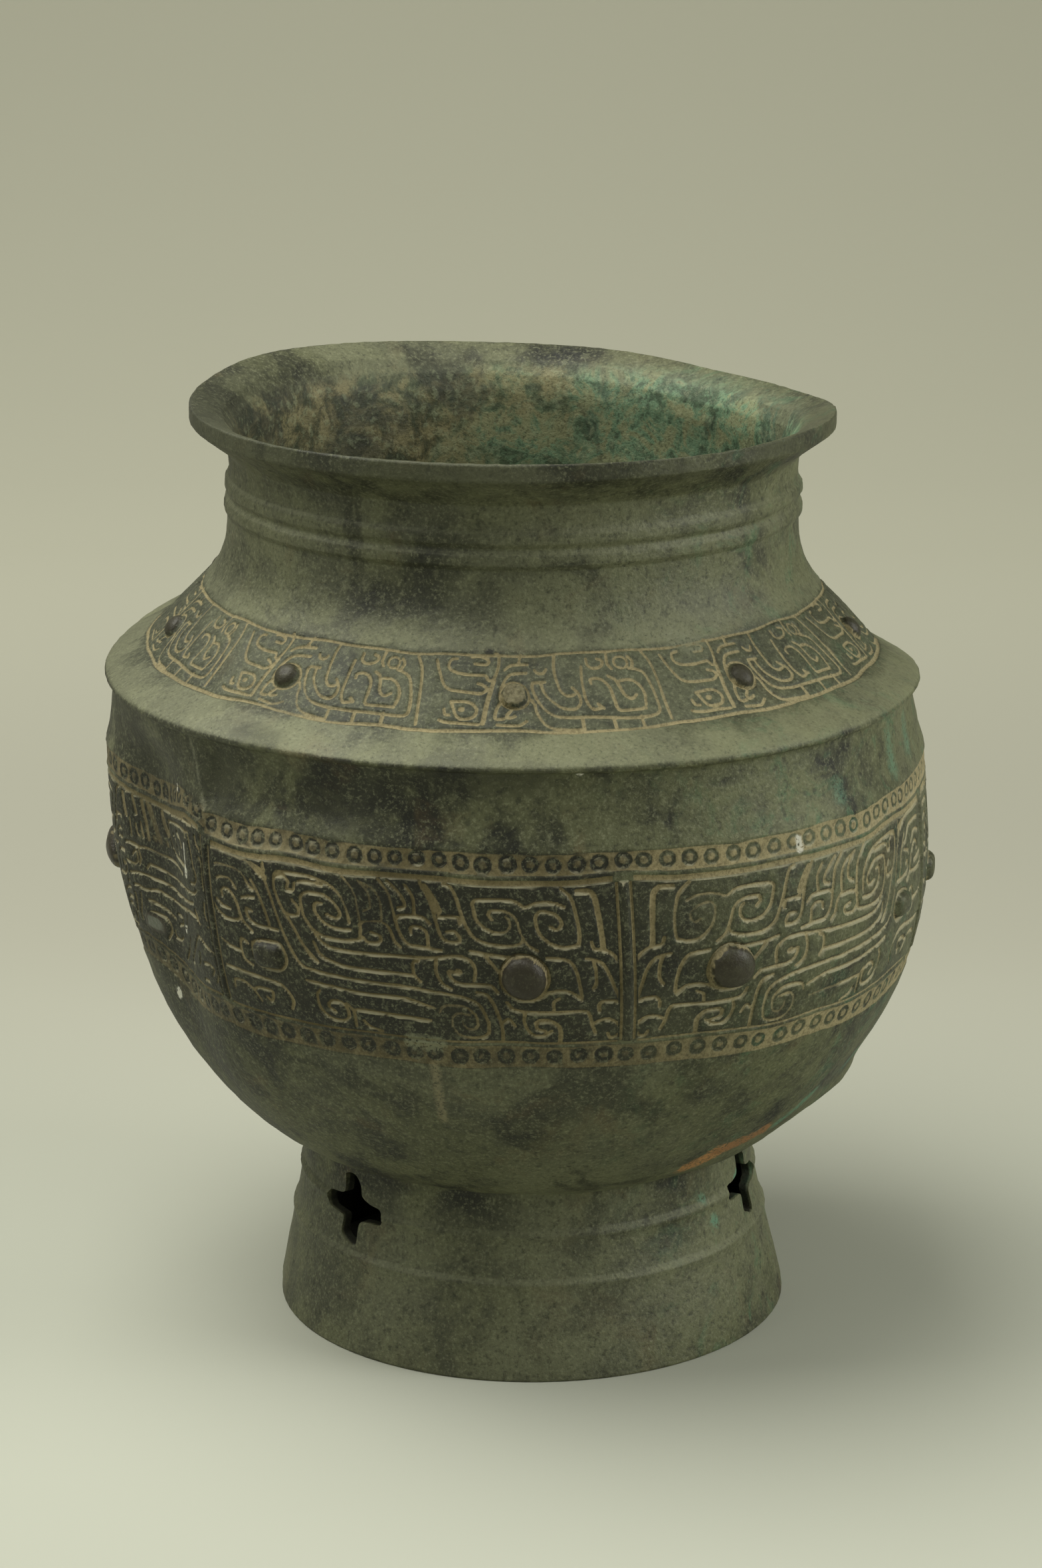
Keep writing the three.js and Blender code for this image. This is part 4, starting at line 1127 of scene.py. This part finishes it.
    # dark bronze on the lip, kept to its front as painted shade
    base.over(n.part(rim, n.ramp(y, 0.06, -0.02), n.ramp(clouds, 0.34, 0.54)), 0.6, 50, 52, 35)

    # painted shade inside the hollow foot
    narrowing = (FOOT_RADIUS - FOOT_NECK_RADIUS) / FOOT_NECK_Z
    reach = n.minus(FOOT_RADIUS * MM, n.times(z, narrowing))
    axis = foot_centre()
    lean = n.minus(axis[0], n.times(z, LEAN_AT_JOINT / JOINT_Z))
    off = n.new("ShaderNodeCombineXYZ", X=n.minus(x, lean), Y=n.minus(y, axis[1])).outputs["Vector"]
    from_axis = n.vector("LENGTH", "Value", i0=off)
    foot_shade = n.part(n.ramp(n.minus(reach, from_axis), 0.0004, 0.0014), n.ramp(z, 0.0655, 0.0635))
    base.over(foot_shade, 0.85, 18, 18, 12)

    broken = n.ramp(grain, 0.36, 0.5)
    for row in MARKS.strip().splitlines():
        colour, *numbers = row.split()
        start, end, (size, soft, strength) = ([float(v) for v in part.split(",")] for part in numbers)
        streak = n.streak(Vector(start) * MM, Vector(end) * MM, size * MM, soft * MM, fleck)
        base.over(n.part(streak, broken), strength, *MARK_COLOURS[colour])

    rough = n.plus(n.plus(0.5, n.part(clouds, 0.22)), n.part(soil_share, 0.2))
    rough = n.minus(rough, n.part(bare, 0.3))
    height = n.plus(n.plus(n.part(grain, 0.5), n.part(fleck, 0.9)), n.part(clouds, 1.2))
    bumped = n.new("ShaderNodeBump", Strength=0.4, Distance=0.001, Height=height).outputs["Normal"]
    more = {"Base Color": base.colour, "Specular IOR Level": 0.42}
    shader = n.new("ShaderNodeBsdfPrincipled", Metallic=0.18, Roughness=rough, Normal=bumped, **more)
    n.new("ShaderNodeOutputMaterial", Surface=shader.outputs["BSDF"])
    return material


def ground():
    """The pale ground that curves up into the wall behind."""
    curve_start, curve_radius, half_width = 1.2, 1.6, 3.5
    rows = [(y, 0.0) for y in np.linspace(-1.6, curve_start, 5)]
    for a in np.radians(np.linspace(0, 90, 16)[1:]):
        rows.append((curve_start + curve_radius * math.sin(a), curve_radius * (1 - math.cos(a))))
    rows.append((curve_start + curve_radius, 4.5))
    points = [(side, y, z) for y, z in rows for side in (-half_width, half_width)]
    faces = [(2 * i, 2 * i + 1, 2 * i + 3, 2 * i + 2) for i in range(len(rows) - 1)]
    mesh = bpy.data.meshes.new("ground")
    mesh.from_pydata(points, [], faces)
    mesh.polygons.foreach_set("use_smooth", np.ones(len(faces), bool))
    mesh.update()
    material = bpy.data.materials.new("ground")
    material.use_nodes = True
    shader = material.node_tree.nodes["Principled BSDF"]
    n = Nodes(material.node_tree)
    back = n.split(n.where)["Y"]
    # painted light falloff on the ground: greyer just behind the jar, lighter again towards the back and up the
    # wall behind
    tone = n.mix(n.ramp(back, 0.0, 0.45), linear(176, 178, 162), linear(161, 160, 144))
    tone = n.mix(n.ramp(back, 0.5, 1.3), tone, linear(188, 187, 167))
    for name, value in (("Base Color", tone), ("Roughness", 0.9), ("Specular IOR Level", 0.1)):
        n.feed(shader.inputs[name], value)
    mesh.materials.append(material)
    return linked("ground", mesh)


def area_light(name, place, target_z, size, power, tint=(1, 1, 1)):
    data = bpy.data.lights.new(name, "AREA")
    data.shape = "RECTANGLE"
    data.size, data.size_y = size
    data.energy, data.color = power, tint
    obj = linked(name, data)
    obj.location = place
    obj.rotation_mode = "QUATERNION"
    obj.rotation_quaternion = (Vector((0, 0, target_z)) - Vector(place)).to_track_quat("-Z", "Y")


def camera_of_photo():
    """The photo's camera, fitted to the jar's outline."""
    data = bpy.data.cameras.new("camera")
    data.sensor_fit = "AUTO"
    data.sensor_width, data.lens = 36.0, 97.22
    data.clip_start, data.clip_end = 0.05, 20.0
    obj = linked("camera", data)
    centre = foot_centre()
    obj.location = (centre[0] - 0.004, centre[1] - 1.4328, 0.598)
    obj.rotation_euler = (math.radians(90 - 15.97), 0, 0)
    bpy.context.scene.camera = obj


vessel = build_vessel()
vessel.data.materials.clear()
vessel.data.materials.append(patina())
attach(vessel, "root")
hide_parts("vessel")

ground()
area_light("sky", (-0.7, -0.02, 1.75), 0.1, (1.6, 1.6), 44, (1.0, 0.99, 0.96))
area_light("left", (-1.6, -1.2, 1.2), 0.15, (1.0, 1.0), 4)
area_light("right", (1.5, -0.4, 0.9), 0.15, (0.8, 1.2), 18)
world = bpy.data.worlds.new("room")
world.use_nodes = True
sky = world.node_tree.nodes["Background"].inputs
sky["Color"].default_value = (0.78, 0.8, 0.7, 1)
sky["Strength"].default_value = 0.33
bpy.context.scene.world = world
view = bpy.context.scene.view_settings
view.view_transform, view.look = "Standard", "None"

camera_of_photo()
